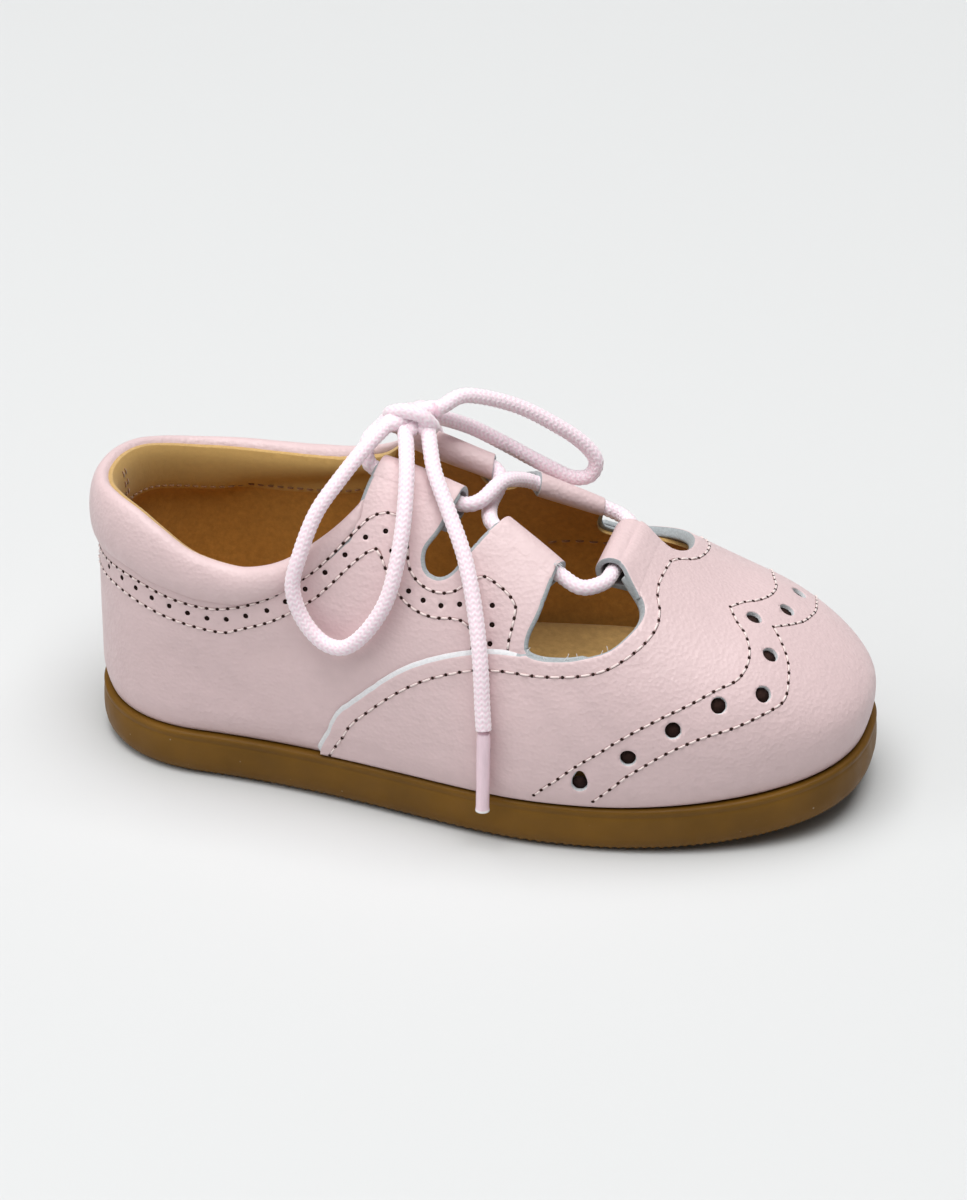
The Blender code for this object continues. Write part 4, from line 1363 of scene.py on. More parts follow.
def fibre_finish(name, colour, dark):
    """Raw cut edge or flesh side of leather: short matted fibres."""
    material, shader, place = new_finish(
        name, 0.9, Specular_IOR_Level=0.2, Sheen_Weight=0.25, Sheen_Roughness=0.6
    )
    fibres = noise(material, stretched(material, place, (1.0, 1.0, 3.0)), 1500.0, 5.0, 0.7)
    tone = blended(material, between(material, fibres, 0.35, 0.65), shade(colour, dark), colour)
    wire(material, shader, Base_Color=tone, Normal=bumped(material, fibres, 0.12, 0.6))
    return material


def suede_finish(name, colour, nap_scale, band=None):
    """Brushed suede: soft nap, darker where it is rubbed, with a smoother band of leather along its rim."""
    material, shader, place = new_finish(
        name, 0.92, Specular_IOR_Level=0.1, Sheen_Weight=0.1, Sheen_Roughness=0.5
    )
    nap = noise(material, place, nap_scale, 5.0, 0.7)
    rubbed = noise(material, place, 70.0, 4.0, 0.6)
    tone = blended(material, between(material, nap, 0.3, 0.7), shade(colour, 0.78), shade(colour, 1.12))
    tone = blended(material, between(material, rubbed, 0.4, 0.7, 0.0, 0.4), tone, shade(colour, 0.72))
    if band is not None:
        below = marked(material, "below_rim")
        on_band = between(material, below, BAND_DEPTH - 0.15, BAND_DEPTH + 0.15, 1.0, 0.0)
        leather = blended(material, between(material, nap, 0.3, 0.7, 0.0, 0.5), band, shade(band, 0.85))
        tone = blended(material, on_band, tone, leather)
    wire(material, shader, Base_Color=tone, Normal=bumped(material, nap, 0.15, 0.5))
    return material


def rubber_finish(name, colour):
    """Moulded gum rubber: satin, faintly cloudy, with tiny pale specks of dust."""
    material, shader, place = new_finish(name, 0.5, Specular_IOR_Level=0.2)
    cloud = noise(material, place, 85.0, 4.0)
    specks = between(material, cells(material, place, 520.0), 0.05, 0.12, 1.0, 0.0)
    chosen = between(material, noise(material, place, 300.0, 2.0), 0.58, 0.64)
    dust = add_node(material, "ShaderNodeMath", {"operation": "MULTIPLY"}, i0=specks, i1=chosen).outputs[0]
    tone = blended(material, between(material, cloud, 0.3, 0.7), shade(colour, 0.82), shade(colour, 1.15))
    tone = blended(material, between(material, dust, 0.0, 1.0, 0.0, 0.6), tone, (0.5, 0.4, 0.28))
    texture = noise(material, place, 900.0, 3.0)
    rough = between(material, noise(material, place, 240.0, 3.0), 0.3, 0.7, 0.42, 0.6)
    wire(material, shader, Base_Color=tone, Roughness=rough, Normal=bumped(material, texture, 0.05, 0.35))
    return material


def yarn_finish(name, colour):
    """Twisted cotton yarn: matt, with fine fibres, and painted shade that makes the braid's valleys darker
    and pinker.
    """
    material, shader, place = new_finish(
        name, 0.82, Specular_IOR_Level=0.25, Sheen_Weight=1.0, Sheen_Roughness=0.45
    )
    fibres = noise(material, place, 3200.0, 3.0, 0.7)
    cloud = noise(material, place, 160.0, 3.0)
    tone = blended(material, between(material, fibres, 0.3, 0.7), shade(colour, 0.92), shade(colour, 1.03))
    tone = blended(material, between(material, cloud, 0.45, 0.75, 0.0, 0.3), tone, shade(colour, 0.93))
    # Painted shade: the braid's valleys, by their marked depth, are darker and pinker.
    painted_valley_shade = tuple(channel * share for channel, share in zip(colour, (0.93, 0.78, 0.84)))
    valley = between(material, marked(material, "valley"), 0.25, 0.85, 0.0, 0.9)
    tone = blended(material, valley, tone, painted_valley_shade)
    wire(material, shader, Base_Color=tone, Normal=bumped(material, fibres, 0.06, 0.5))
    return material


def film_finish(name, colour):
    """Glossy film wound round the lace's tip."""
    material, shader, place = new_finish(
        name, 0.24, Specular_IOR_Level=0.5, Coat_Weight=0.4, Coat_Roughness=0.12
    )
    streaks = noise(material, stretched(material, place, (3.0, 3.0, 0.5)), 420.0, 3.0)
    tone = blended(material, between(material, streaks, 0.35, 0.7), shade(colour, 0.9), colour)
    tone = blended(material, marked(material, "tip"), tone, (0.97, 0.94, 0.93))
    wire(material, shader, Base_Color=tone, Normal=bumped(material, streaks, 0.08, 0.3))
    return material


def painted_shade_finish(name, colour):
    """Painted shade, dark and matt: inside a hole, and as a shadow line along a seam's groove."""
    material, shader, place = new_finish(name, 0.95, Specular_IOR_Level=0.1)
    # Random patches of deeper painted shade.
    patchy_shade = noise(material, place, 2000.0, 2.0)
    tone = blended(material, between(material, patchy_shade, 0.3, 0.7), shade(colour, 0.7), colour)
    wire(material, shader, Base_Color=tone)
    return material


def backdrop_finish(name, colour):
    """Matt paper of the floor."""
    material, shader, place = new_finish(name, 0.95, Specular_IOR_Level=0.05)
    tooth = noise(material, place, 900.0, 2.0)
    tone = blended(material, between(material, tooth, 0.3, 0.7), shade(colour, 0.998), colour)
    wire(material, shader, Base_Color=tone)
    return material


def finish(name):
    """The finish of that name, made on its first use from the settings of the scene."""
    found = bpy.data.materials.get(name)
    if found:
        return found
    scene = bpy.context.scene
    leather, sewing = scene.brogue_leather, scene.brogue_sewing
    sole, lace = scene.brogue_sole, scene.brogue_lace
    makers = {
        "grain_leather": lambda: leather_finish(name, leather.leather_colour),
        "cut_edge": lambda: fibre_finish(name, leather.edge_colour, 0.72),
        "flesh_side": lambda: fibre_finish(name, leather.flesh_colour, 0.75),
        "suede_lining": lambda: suede_finish(name, leather.lining_colour, 900.0, leather.band_colour),
        "lining_edge": lambda: fibre_finish(name, leather.band_colour, 0.8),
        "wing_edge": lambda: fibre_finish(name, leather.wing_edge_colour, 0.85),
        # Painted shadow along the groove of a seam.
        "groove_shadow": lambda: painted_shade_finish(name, sewing.groove_shade_colour),
        "footbed_leather": lambda: suede_finish(name, leather.footbed_colour, 700.0),
        "sewing_thread": lambda: yarn_finish(name, sewing.thread_colour),
        "lining_thread": lambda: yarn_finish(name, sewing.lining_thread_colour),
        # Painted shade inside needle holes, pinholes and punched holes.
        "hole_shade": lambda: painted_shade_finish(name, sewing.hole_colour),
        "gum_rubber": lambda: rubber_finish(name, sole.rubber_colour),
        "lace_yarn": lambda: yarn_finish(name, lace.lace_colour),
        "aglet_film": lambda: film_finish(name, lace.aglet_colour),
        "paper": lambda: backdrop_finish(name, scene.brogue_stage.floor_colour),
    }
    return makers[name]()


class BrogueLeather(bpy.types.PropertyGroup):
    """Leather of the upper."""

    leather_colour: FloatVectorProperty(
        name="Leather",
        description="Grain side of the upper",
        subtype="COLOR",
        size=3,
        default=(0.72, 0.548, 0.551),
    )
    edge_colour: FloatVectorProperty(
        name="Cut edge",
        description="Raw edges of the leather",
        subtype="COLOR",
        size=3,
        default=(0.42, 0.456, 0.472),
    )
    wing_edge_colour: FloatVectorProperty(
        name="Wing edge",
        description="Raw edge of the wing",
        subtype="COLOR",
        size=3,
        default=(0.72, 0.73, 0.745),
    )
    band_colour: FloatVectorProperty(
        name="Lining band",
        description="Leather band inside the rim",
        subtype="COLOR",
        size=3,
        default=(0.59, 0.372, 0.13),
    )
    flesh_colour: FloatVectorProperty(
        name="Flesh side",
        description="Back of the leather",
        subtype="COLOR",
        size=3,
        default=(0.37, 0.355, 0.363),
    )
    lining_colour: FloatVectorProperty(
        name="Lining", description="Suede lining", subtype="COLOR", size=3, default=(0.54, 0.27, 0.061)
    )
    footbed_colour: FloatVectorProperty(
        name="Footbed",
        description="Leather of the footbed",
        subtype="COLOR",
        size=3,
        default=(0.56, 0.36, 0.135),
    )
    thickness: FloatProperty(
        name="Thickness", description="Thickness of the quarter leather", default=0.9 * MM, unit="LENGTH"
    )
    columns: IntProperty(name="Columns", description="Cells of the pattern from heel to toe", default=260)
    rows: IntProperty(name="Rows", description="Cells of the pattern from side to side", default=170)


class BrogueSewing(bpy.types.PropertyGroup):
    """Stitching and pinholes."""

    thread_colour: FloatVectorProperty(
        name="Thread", description="Sewing thread", subtype="COLOR", size=3, default=(0.86, 0.73, 0.7)
    )
    lining_thread_colour: FloatVectorProperty(
        name="Lining thread",
        description="Thread of the lining",
        subtype="COLOR",
        size=3,
        default=(0.3, 0.14, 0.05),
    )
    hole_colour: FloatVectorProperty(
        name="Needle hole",
        description="Shade inside a needle hole",
        subtype="COLOR",
        size=3,
        default=(0.04, 0.02, 0.016),
    )
    # Colour of the painted shadow along the groove of a seam.
    groove_shade_colour: FloatVectorProperty(
        name="Groove",
        description="Leather pressed down by a seam",
        subtype="COLOR",
        size=3,
        default=(0.44, 0.29, 0.285),
    )
    pitch: FloatProperty(
        name="Pitch", description="Length of one band stitch", default=1.9 * MM, unit="LENGTH"
    )
    wing_pitch: FloatProperty(
        name="Wing pitch", description="Length of one wing stitch", default=2.5 * MM, unit="LENGTH"
    )
    thread: FloatProperty(
        name="Thread size", description="Diameter of the thread", default=0.36 * MM, unit="LENGTH"
    )
    needle: FloatProperty(
        name="Needle size", description="Diameter of a needle hole", default=0.62 * MM, unit="LENGTH"
    )
    pinhole: FloatProperty(
        name="Pinhole", description="Diameter of a pinhole", default=1.0 * MM, unit="LENGTH"
    )


class BrogueSole(bpy.types.PropertyGroup):
    """Sole."""

    rubber_colour: FloatVectorProperty(
        name="Rubber",
        description="Gum rubber of the sole",
        subtype="COLOR",
        size=3,
        default=(0.17, 0.078, 0.0068),
    )


class BrogueLace(bpy.types.PropertyGroup):
    """Lace."""

    lace_colour: FloatVectorProperty(
        name="Lace", description="Yarn of the lace", subtype="COLOR", size=3, default=(1.0, 0.875, 0.925)
    )
    aglet_colour: FloatVectorProperty(
        name="Aglet",
        description="Film of the lace's tips",
        subtype="COLOR",
        size=3,
        default=(0.95, 0.72, 0.8),
    )
    braid_depth: FloatProperty(
        name="Braid", description="Depth of the braid", default=0.13 * MM, unit="LENGTH"
    )
    braid_pitch: FloatProperty(
        name="Braid pitch", description="Length of one chevron", default=1.0 * MM, unit="LENGTH"
    )
    braid_columns: IntProperty(name="Braid columns", description="Chevrons round the cord", default=7)


class BrogueStage(bpy.types.PropertyGroup):
    """Camera, floor and lights."""

    azimuth: FloatProperty(
        name="Azimuth",
        description="Camera's turn round the shoe",
        default=math.radians(15.0),
        subtype="ANGLE",
    )
    elevation: FloatProperty(
        name="Elevation", description="Camera's height", default=math.radians(30.0), subtype="ANGLE"
    )
    distance: FloatProperty(name="Distance", description="Camera to shoe", default=0.8, unit="LENGTH")
    frame_width: FloatProperty(
        name="Frame", description="Width of the view at the shoe", default=0.168, unit="LENGTH"
    )
    target: FloatVectorProperty(
        name="Target",
        description="Point in the middle of the view",
        subtype="TRANSLATION",
        default=(0.0, 0.0, 0.03),
    )
    floor_colour: FloatVectorProperty(
        name="Floor",
        description="Paper under the shoe",
        subtype="COLOR",
        size=3,
        default=(0.642, 0.65, 0.65),
    )


def make_quarter(leather, sewing):
    """Leather of both quarters, pierced by the pinholes of the band."""
    pins = np.vstack([band_places(PIN_ROW, HEEL_PINS, side) for side in (OUTER, INNER)])
    holes = hole_outlines(pins, sewing.pinhole / MM, PINHOLE_SIDES)
    outlines = [[throat_outline(QUARTER_DROP)], [before_quarter_outline()], holes]
    pattern = cut_pattern(leather.columns, leather.rows, outlines)
    places = pattern[0]
    relief = crease_depth(places[:, 0], np.clip(places[:, 1], -1.0, 1.0))
    width, at_hole = edge_widths(places, QUARTER_EDGE, pins, sewing.pinhole / MM / 2)
    # The raw edge round each pinhole takes the dark painted shade of the holes.
    finishes = [finish("grain_leather"), finish("flesh_side"), finish("cut_edge"), finish("hole_shade")]
    near = relief - leather.thickness / MM
    return wrap_leather("quarter_leather", pattern, near, relief, 1.0, finishes, width, at_hole)


def make_lining(leather):
    """Suede lining inside the wall, bulging over the padded roll, with a leather band along its rim."""
    pattern = cut_pattern(LINING_COLUMNS, LINING_ROWS, [[throat_outline(LINING_DROP, LINING_FORWARD)]])
    u, q = pattern[0][:, 0], np.clip(pattern[0][:, 1], -1.0, 1.0)
    outer, inner, distance = lining_offsets(u, q, leather.thickness / MM)
    finishes = [finish("suede_lining"), finish("suede_lining"), finish("lining_edge")]
    marks = {"below_rim": distance}
    return wrap_leather("suede_lining", pattern, inner, outer, 1.0, finishes, LINING_EDGE, marks=marks)


def make_wing(leather):
    """Second layer over the front, with its raw edge and the punched holes of the tip."""
    punches = punch_places()
    outlines = [[throat_outline(WING_DROP)], [behind_wing_outline()]]
    outlines.append(hole_outlines(punches, PUNCH_DIAMETER + 2.0 * HOLE_EDGE, PUNCH_SIDES))
    pattern = cut_pattern(leather.columns, leather.rows, outlines)
    places = pattern[0]
    relief = crease_depth(places[:, 0], np.clip(places[:, 1], -1.0, 1.0))
    x = station_x(places[:, 0])
    ahead = smooth((x - WING_THROAT_X) / WING_THROAT_RUN)
    cut = WING_REAR_EDGE + (WING_THROAT_EDGE - WING_REAR_EDGE) * ahead
    width, at_hole = edge_widths(places, cut, punches, PUNCH_DIAMETER / 2 + HOLE_EDGE)
    finishes = [finish("grain_leather"), finish("flesh_side"), finish("wing_edge"), finish("cut_edge")]
    near = relief + WING_LIFT - WING_SINK * smooth((x - WING_SINK_X) / WING_SINK_RUN)
    far = relief + CLEARANCE + WING_THICKNESS
    at_throat = (ahead > 0.5) & ~at_hole
    return wrap_leather("wing_leather", pattern, near, far, WING_REACH, finishes, width, at_throat)


def make_collar():
    """Padded roll along the collar rim, pulled in by its seam."""
    places = []
    for side in (OUTER, INNER):
        run = curve_through(collar_places(side, 0.0), 12)
        first = station_u(ROLL_START_X)
        wanted = np.linspace(first, first / ROLL_STATIONS, ROLL_STATIONS // 2)
        half = np.stack([wanted, np.interp(wanted, run[:, 0], run[:, 1])], axis=-1)
        places.append(half if side == OUTER else half[::-1])
    places = np.vstack(places)
    share = np.linspace(0.0, 1.0, len(places))
    fade = smooth(np.minimum(share, 1.0 - share) / ROLL_END_TAPER)
    turns = np.arange(ROLL_SIDES) * 2.0 * np.pi / ROLL_SIDES
    reach = reach_along(last_point(places[:, 0], places[:, 1]))
    rings = []
    for (u, q), size, along in zip(places, fade, reach):
        height = float(through(ROLL_HEIGHT, station_x(u)))
        top = last_point(u, q)
        down = unit(last_point(u, q + math.copysign(1e-3, q)) - top)
        low = q
        for _ in range(4):
            short = height / 2 - np.linalg.norm(last_point(u, low) - top)
            low += math.copysign(1.0, q) * short / PATTERN_HALF_GIRTH
        normal = outward(u, low)
        middle = last_point(u, low) + normal * (ROLL_OUTWARD - WALL / 2)
        down = unit(down - normal * (down @ normal))
        width = ROLL_END_HALF_WIDTH + (ROLL_HALF_WIDTH - ROLL_END_HALF_WIDTH) * size
        wave = np.cos(2.0 * np.pi * along / ROLL_PUCKER_PITCH)
        pucker = 1.0 + ROLL_PUCKER * wave * np.clip(np.cos(turns), 0.0, 1.0) ** 2
        bow = np.abs(np.sin(turns)) ** 0.9 * np.sign(np.sin(turns))
        tall = np.outer(np.cos(turns), down) * (height / 2 + ROLL_SPARE)
        rings.append(middle + (tall + np.outer(bow * pucker, normal) * width))
    middles = [ring.mean(axis=0) for ring in (rings[0], rings[-1])]
    faces = ring_faces(len(rings), ROLL_SIDES) + end_fans(len(rings), ROLL_SIDES)
    piece = new_piece("collar_roll", np.vstack(rings + middles), faces, [finish("grain_leather")])
    clean_up(piece)
    return piece


def strip_mesh(name, lines):
    """Strap of leather from its outer face, a grid of columns of points, with its back and edges."""
    lines = np.asarray(lines)
    columns, rows = lines.shape[:2]
    along = np.gradient(lines, axis=0)
    around = np.gradient(lines, axis=1)
    normals = unit(np.cross(along, around))
    back = lines - normals * TAB_THICKNESS
    points = np.vstack([lines.reshape(-1, 3), back.reshape(-1, 3)])
    index = np.arange(columns * rows).reshape(columns, rows)
    faces, kinds = [], []
    for i in range(columns - 1):
        for j in range(rows - 1):
            quad = [index[i, j], index[i + 1, j], index[i + 1, j + 1], index[i, j + 1]]
            faces += [quad, [k + columns * rows for k in quad[::-1]]]
            kinds += [0, 1]
    border = list(index[:, 0]) + list(index[-1, 1:]) + list(index[-2::-1, -1]) + list(index[0, -2:0:-1])
    ends = set(index[:, 0]) | set(index[:, -1])
    for a, b in zip(border, border[1:] + border[:1]):
        faces.append([b, a, a + columns * rows, b + columns * rows])
        kinds.append(1 if a in ends and b in ends else 2)
    finishes = [finish("grain_leather"), finish("flesh_side"), finish("cut_edge")]
    piece = new_piece(name, points, faces, finishes, kinds)
    clean_up(piece, 0.005)
    bevel = piece.modifiers.new("soft_edge", "BEVEL")
    bevel.width = TAB_BEVEL * MM
    bevel.segments = 2
    bevel.limit_method = "ANGLE"
    bevel.angle_limit = math.radians(50)
    choose(piece)
    bpy.ops.object.modifier_apply(modifier=bevel.name)
    return piece


def rolled_profile(axis, fold, normal, forward, tail_depth):
    """Points of a strap that leaves its fold point, goes round the lace and back along the wall."""
    radius = np.linalg.norm(fold - axis)
    slope = math.atan2(2.0 * radius - tail_depth, TAB_TAIL)
    turns = np.linspace(0.0, math.pi + slope, TAB_ROUND_STEPS)
    points = [axis + radius * (normal * math.cos(t) + forward * math.sin(t)) for t in turns]
    foot = fold - forward * TAB_TAIL - normal * tail_depth
    start = points[-1]
    tail = np.linspace(TAB_TAIL_FROM, 1.0, TAB_TAIL_STEPS)
    points += [start + (foot - start) * share for share in tail]
    return points


def side_tab_edges(name, side):
    """Cut edges of the quarter that run down from the two ends of a tab's fold."""
    collar, rear, notch, _, opening = throat_runs(side, QUARTER_DROP)
    if name == "rear":
        return np.vstack([rear[:1], collar[-1:]]), notch[:6]
    return notch[:-7:-1], opening[:6]


def slide_along(run, drop):
    """How far u moves along a cut edge from its first place to one this much lower."""
    return np.interp(abs(run[0, 1] + drop), np.abs(run[:, 1]), run[:, 0]) - run[0, 0]


def make_side_tab(name, side):
    """One lace tab of a quarter, its sides in line with the quarter's cut edges."""
    start, stop = tab_axis(name, side)
    spare = TAB_SPARE / np.linalg.norm(stop - start)
    shares = np.linspace(-spare, 1.0 + spare, TAB_COLUMNS)
    edges = side_tab_edges(name, side)
    rows = []
    for share, (u, q) in zip(shares, fold_places(name, side, shares)):
        axis = start + (stop - start) * share
        fold = last_point(u, q)
        normal = unit(fold - axis)
        along = unit(stop - start)
        forward = unit(np.cross(normal, along)) * -side
        below = []
        for gap, lift in zip(np.linspace(TAB_FOOT_FROM, TAB_FOOT_TO, len(TAB_LIFTS)), TAB_LIFTS):
            drop = side * gap / TAB_GIRTH
            rear, front = (slide_along(run, drop) for run in edges)
            here = u + rear * (1.0 - share) + front * share
            below.append(last_point(here, q + drop) + outward(here, q + drop) * lift)
        rows.append(below + rolled_profile(axis, fold + normal * 0.05, normal, forward, TAB_TAIL_DEPTH))
    if side == INNER:
        rows = rows[::-1]
    label = "outer" if side == OUTER else "inner"
    return strip_mesh(f"{name}_tab_{label}", rows)


def make_vamp_tab():
    """Lace tab of the vamp, folded back over the lace."""
    rows = []
    cover = CLEARANCE + WING_THICKNESS
    for share in np.linspace(-1.0, 1.0, TAB_COLUMNS):
        side = OUTER if share < 0.0 else INNER
        axis = np.array(VAMP_TAB[0]) + (np.array(VAMP_TAB[1]) - VAMP_TAB[0]) * (share + 1.0) / 2
        across = axis[1] - centre_y(VAMP_TAB_X)
        u, q = pattern_from_top(VAMP_TAB_X, abs(across), OUTER if across < 0.0 else INNER)
        normal = unit(outward(u, q) * VAMP_TAB_LEAN)
        forward = unit(np.cross((0.0, 1.0, 0.0), normal)) * -1.0
        fold = axis + normal * VAMP_TAB_RADIUS
        below = []
        for x in np.linspace(VAMP_TAB_ROOT_X, VAMP_TAB_FOLD_X, VAMP_TAB_FOOT_ROWS):
            y = share * float(through(VAMP_TAB_EDGES[side], x))
            u, q = pattern_from_top(x, abs(y), side)
            sink = VAMP_TAB_SINK * smooth((x - VAMP_TAB_SINK_X) / VAMP_TAB_SINK_RUN)
            surface = last_point(u, q) + outward(u, q) * (cover + VAMP_TAB_LIFT - sink)
            ease = smooth((x - VAMP_TAB_EASE_X) / VAMP_TAB_EASE_RUN)
            level = fold + (surface - fold) * (x - VAMP_TAB_X) / (VAMP_TAB_ROOT_X - VAMP_TAB_X)
            level = np.array([surface[0], surface[1], level[2]])
            below.append(surface * ease + level * (1.0 - ease))
        rows.append(below + rolled_profile(axis, fold, normal, forward, VAMP_TAB_TAIL_DEPTH))
    return strip_mesh("vamp_tab", rows)


def seam_places(away, top, foot, side):
    """Pattern places of a run down the back of the heel, this far from its middle line."""
    z = np.linspace(foot, top, 9)
    return pattern_from_side(np.full(9, heel_x(away)), z, side)


def sewn_rows(leather, sewing):
    """Every stitch row: its run on the pattern, offset from the last, facing and length of a stitch."""
    rows = []
    cover = CLEARANCE + WING_THICKNESS
    pitch, wing_pitch = sewing.pitch / MM, sewing.wing_pitch / MM

    def outside(height):
        return lambda u, q: crease_depth(u, q) + height

    def inside(u, q):
        return lining_offsets(u, q, leather.thickness / MM)[1]

    for side in (OUTER, INNER):
        for table in (UPPER_ROW, LOWER_ROW):
            band = curve_through(band_places(table, HEEL_STITCHES, side), ROW_STEPS)
            rows.append((band, outside(0.0), 1.0, pitch))
        rows.append((seam_places(*HEEL_SEAM, side), outside(0.0), 1.0, pitch))
        wing = np.vstack([side_places(WING_ROW, side), top_places(WING_ROW_FRONT[side], side)])
        rows.append((curve_through(wing, ROW_STEPS), outside(cover), 1.0, wing_pitch))
        for toe, flank in TIP_ROWS:
            tip = np.vstack([tip_places(toe, side), side_places(flank, side)])
            rows.append((curve_through(tip, ROW_STEPS), outside(cover), 1.0, pitch))
        rim = collar_places(side, BAND_DEPTH - LINING_ROW_RISE)[:-2]
        rows.append((curve_through(rim, ROW_STEPS), inside, -1.0, pitch))
        rows.append((seam_places(*LINING_SEAM, side), inside, -1.0, pitch))
        behind_wing = curve_through(side_places(WING_ROW[2:], side), ROW_STEPS)
        rows.append((behind_wing, inside, -1.0, wing_pitch))
    return rows


def disc(point, up, radius, lift):
    """Flat dark disc of painted shade in a hole, closed by a point below it."""
    turns = np.arange(DISC_SIDES) * 2.0 * np.pi / DISC_SIDES
    across = unit(np.cross(up, (0.31, 0.2, 0.93)))
    ring = np.outer(np.cos(turns), across) + np.outer(np.sin(turns), np.cross(up, across))
    middles = [point + up * (lift + DISC_RISE), point + up * (lift - DISC_DEPTH)]
    following = [(j, (j + 1) % DISC_SIDES) for j in range(DISC_SIDES)]
    faces = [(DISC_SIDES, j, k) for j, k in following] + [(DISC_SIDES + 1, k, j) for j, k in following]
    return np.vstack([point + up * lift + radius * ring, *middles]), faces


def make_stitching(leather, sewing):
    """Threads of every row, with dark discs of painted shade in the needle holes (also in the pinholes and
    punched holes) and a dark ribbon of painted shadow along each pressed groove, each kind as one mesh.
    """
    threads, holes, shadow_ribbons, inner = [], [], [], []
    size = sewing.thread / MM / 2
    needle = sewing.needle / MM / 2
    turns = np.arange(STITCH_SIDES) * np.pi / 3
    last = (len(STITCH_SHAPE) - 1) * STITCH_SIDES
    thread_faces = ring_faces(len(STITCH_SHAPE), STITCH_SIDES)
    thread_faces += [tuple(range(STITCH_SIDES))[::-1], tuple(range(last, last + STITCH_SIDES))]
    for run, offset, facing, pitch in sewn_rows(leather, sewing):
        u, q = spaced_on_last(spaced_on_last(run, ROW_STEP), pitch).T
        normals = outward(u, q)
        needles = last_point(u, q) + normals * offset(u, q)[:, None]
        normals = normals * facing
        for a, b, up in zip(needles[:-1], needles[1:], normals[:-1]):
            run_dir = unit(b - a)
            across = np.cross(up, run_dir)
            rings = []
            for share, lift, thick in STITCH_SHAPE:
                middle = a + (b - a) * (STITCH_START + STITCH_SHARE * share) + up * lift
                ring = np.outer(np.cos(turns), across) + np.outer(np.sin(turns), up)
                rings.append(middle + thick * size * ring)
            (threads if facing > 0.0 else inner).append((np.vstack(rings), thread_faces))
        if facing < 0.0:
            continue
        # Painted shade: a dark disc in each needle hole.
        holes += [disc(point, up, needle, NEEDLE_LIFT) for point, up in zip(needles, normals)]
        # Painted shadow: a dark ribbon along the groove pressed by the seam.
        dense = spaced_on_last(run, GROOVE_STEP)
        normals = outward(dense[:, 0], dense[:, 1])
        points = last_point(dense[:, 0], dense[:, 1]) + normals * offset(dense[:, 0], dense[:, 1])[:, None]
        across = unit(np.cross(normals, np.gradient(points, axis=0))) * needle * GROOVE_SHARE
        top, bottom = points + normals * GROOVE_RISE, points - normals * GROOVE_DEPTH
        ribbon = np.stack([points + across, top, points - across, bottom], axis=1)
        count = len(points)
        faces = ring_faces(count, 4) + [(3, 2, 1, 0), tuple(4 * count - 4 + k for k in range(4))]
        shadow_ribbons.append((ribbon.reshape(-1, 3), faces))
    # Painted shade: dark discs in the pinholes and the punched holes.
    for side in (OUTER, INNER):
        for u, q in band_places(PIN_ROW, HEEL_PINS, side):
            holes.append(disc(last_point(u, q), outward(u, q), sewing.pinhole / MM / 2, PINHOLE_LIFT))
    for u, q in punch_places():
        holes.append(disc(last_point(u, q), outward(u, q), PUNCH_DIAMETER / 2 + PUNCH_SPARE, PUNCH_LIFT))
    made = []
    for name, parts, material in (
        ("stitches", threads, "sewing_thread"),
        ("lining_stitches", inner, "lining_thread"),
        ("hole_shades", holes, "hole_shade"),
        ("groove_shadows", shadow_ribbons, "groove_shadow"),
    ):
        piece = new_piece(name, *joined(parts), [finish(material)])
        clean_up(piece, 0.001)
        made.append(piece)
    return made


def make_fibres():
    """Loose fibres at the raw edges of the outer opening and of its front tab, as one mesh."""
    runs = []
    for x, z, lean, length in EDGE_FIBRES:
        (u, q), = side_places([(x, z)], OUTER)
        root = last_point(u, q) + outward(u, q) * FIBRE_LIFT
        up = unit(last_point(u, q + 1e-3) - last_point(u, q))
        along = unit(last_point(u + 1e-3, q) - last_point(u, q))
        tip = root + unit(up + along * lean) * length
        runs.append((root, (root + tip) / 2 + outward(u, q) * FIBRE_BOW * length, tip))
    stop = tab_axis("front", OUTER)[1]
    (u, q), = fold_places("front", OUTER, [1.0])
    corner = stop + unit(last_point(u, q) - stop) * TAB_CORNER
    for reach in TAB_FIBRES:
        runs.append((corner, corner + np.array(reach) / 2 + TAB_FIBRE_BOW, corner + np.array(reach)))
    hair = [tube(curve_through(run, 5), lambda reach, turns: FIBRE_RADIUS, 5) for run in runs]
    piece = new_piece("loose_fibres", *joined(hair), [finish("wing_edge")])
    clean_up(piece, 0.001)
    return piece


def spaced_on_last(run, spacing):
    """Pattern run with its points evenly spaced on the last."""
    reach = reach_along(last_point(run[:, 0], run[:, 1]))
    wanted = np.linspace(0.0, reach[-1], max(2, round(reach[-1] / spacing) + 1))
    return np.stack([np.interp(wanted, reach, run[:, k]) for k in (0, 1)], axis=-1)


def plan_ring(height, inset, stations):
    """Ring of the plan outline at one height: outer side from heel to toe, then back along the inner side."""
    half = SOLE_LENGTH / 2
    start, stop = -half + inset, half - inset
    x = crowded(start, stop, stations)
    sides = []
    for side in (OUTER, INNER):
        y = centre_y(x) + side * half_width(x, side, inset, start, stop)
        sides.append(np.stack([x, y, spring(x) + height], axis=-1))
    return np.vstack([sides[0], sides[1][-2:0:-1]])


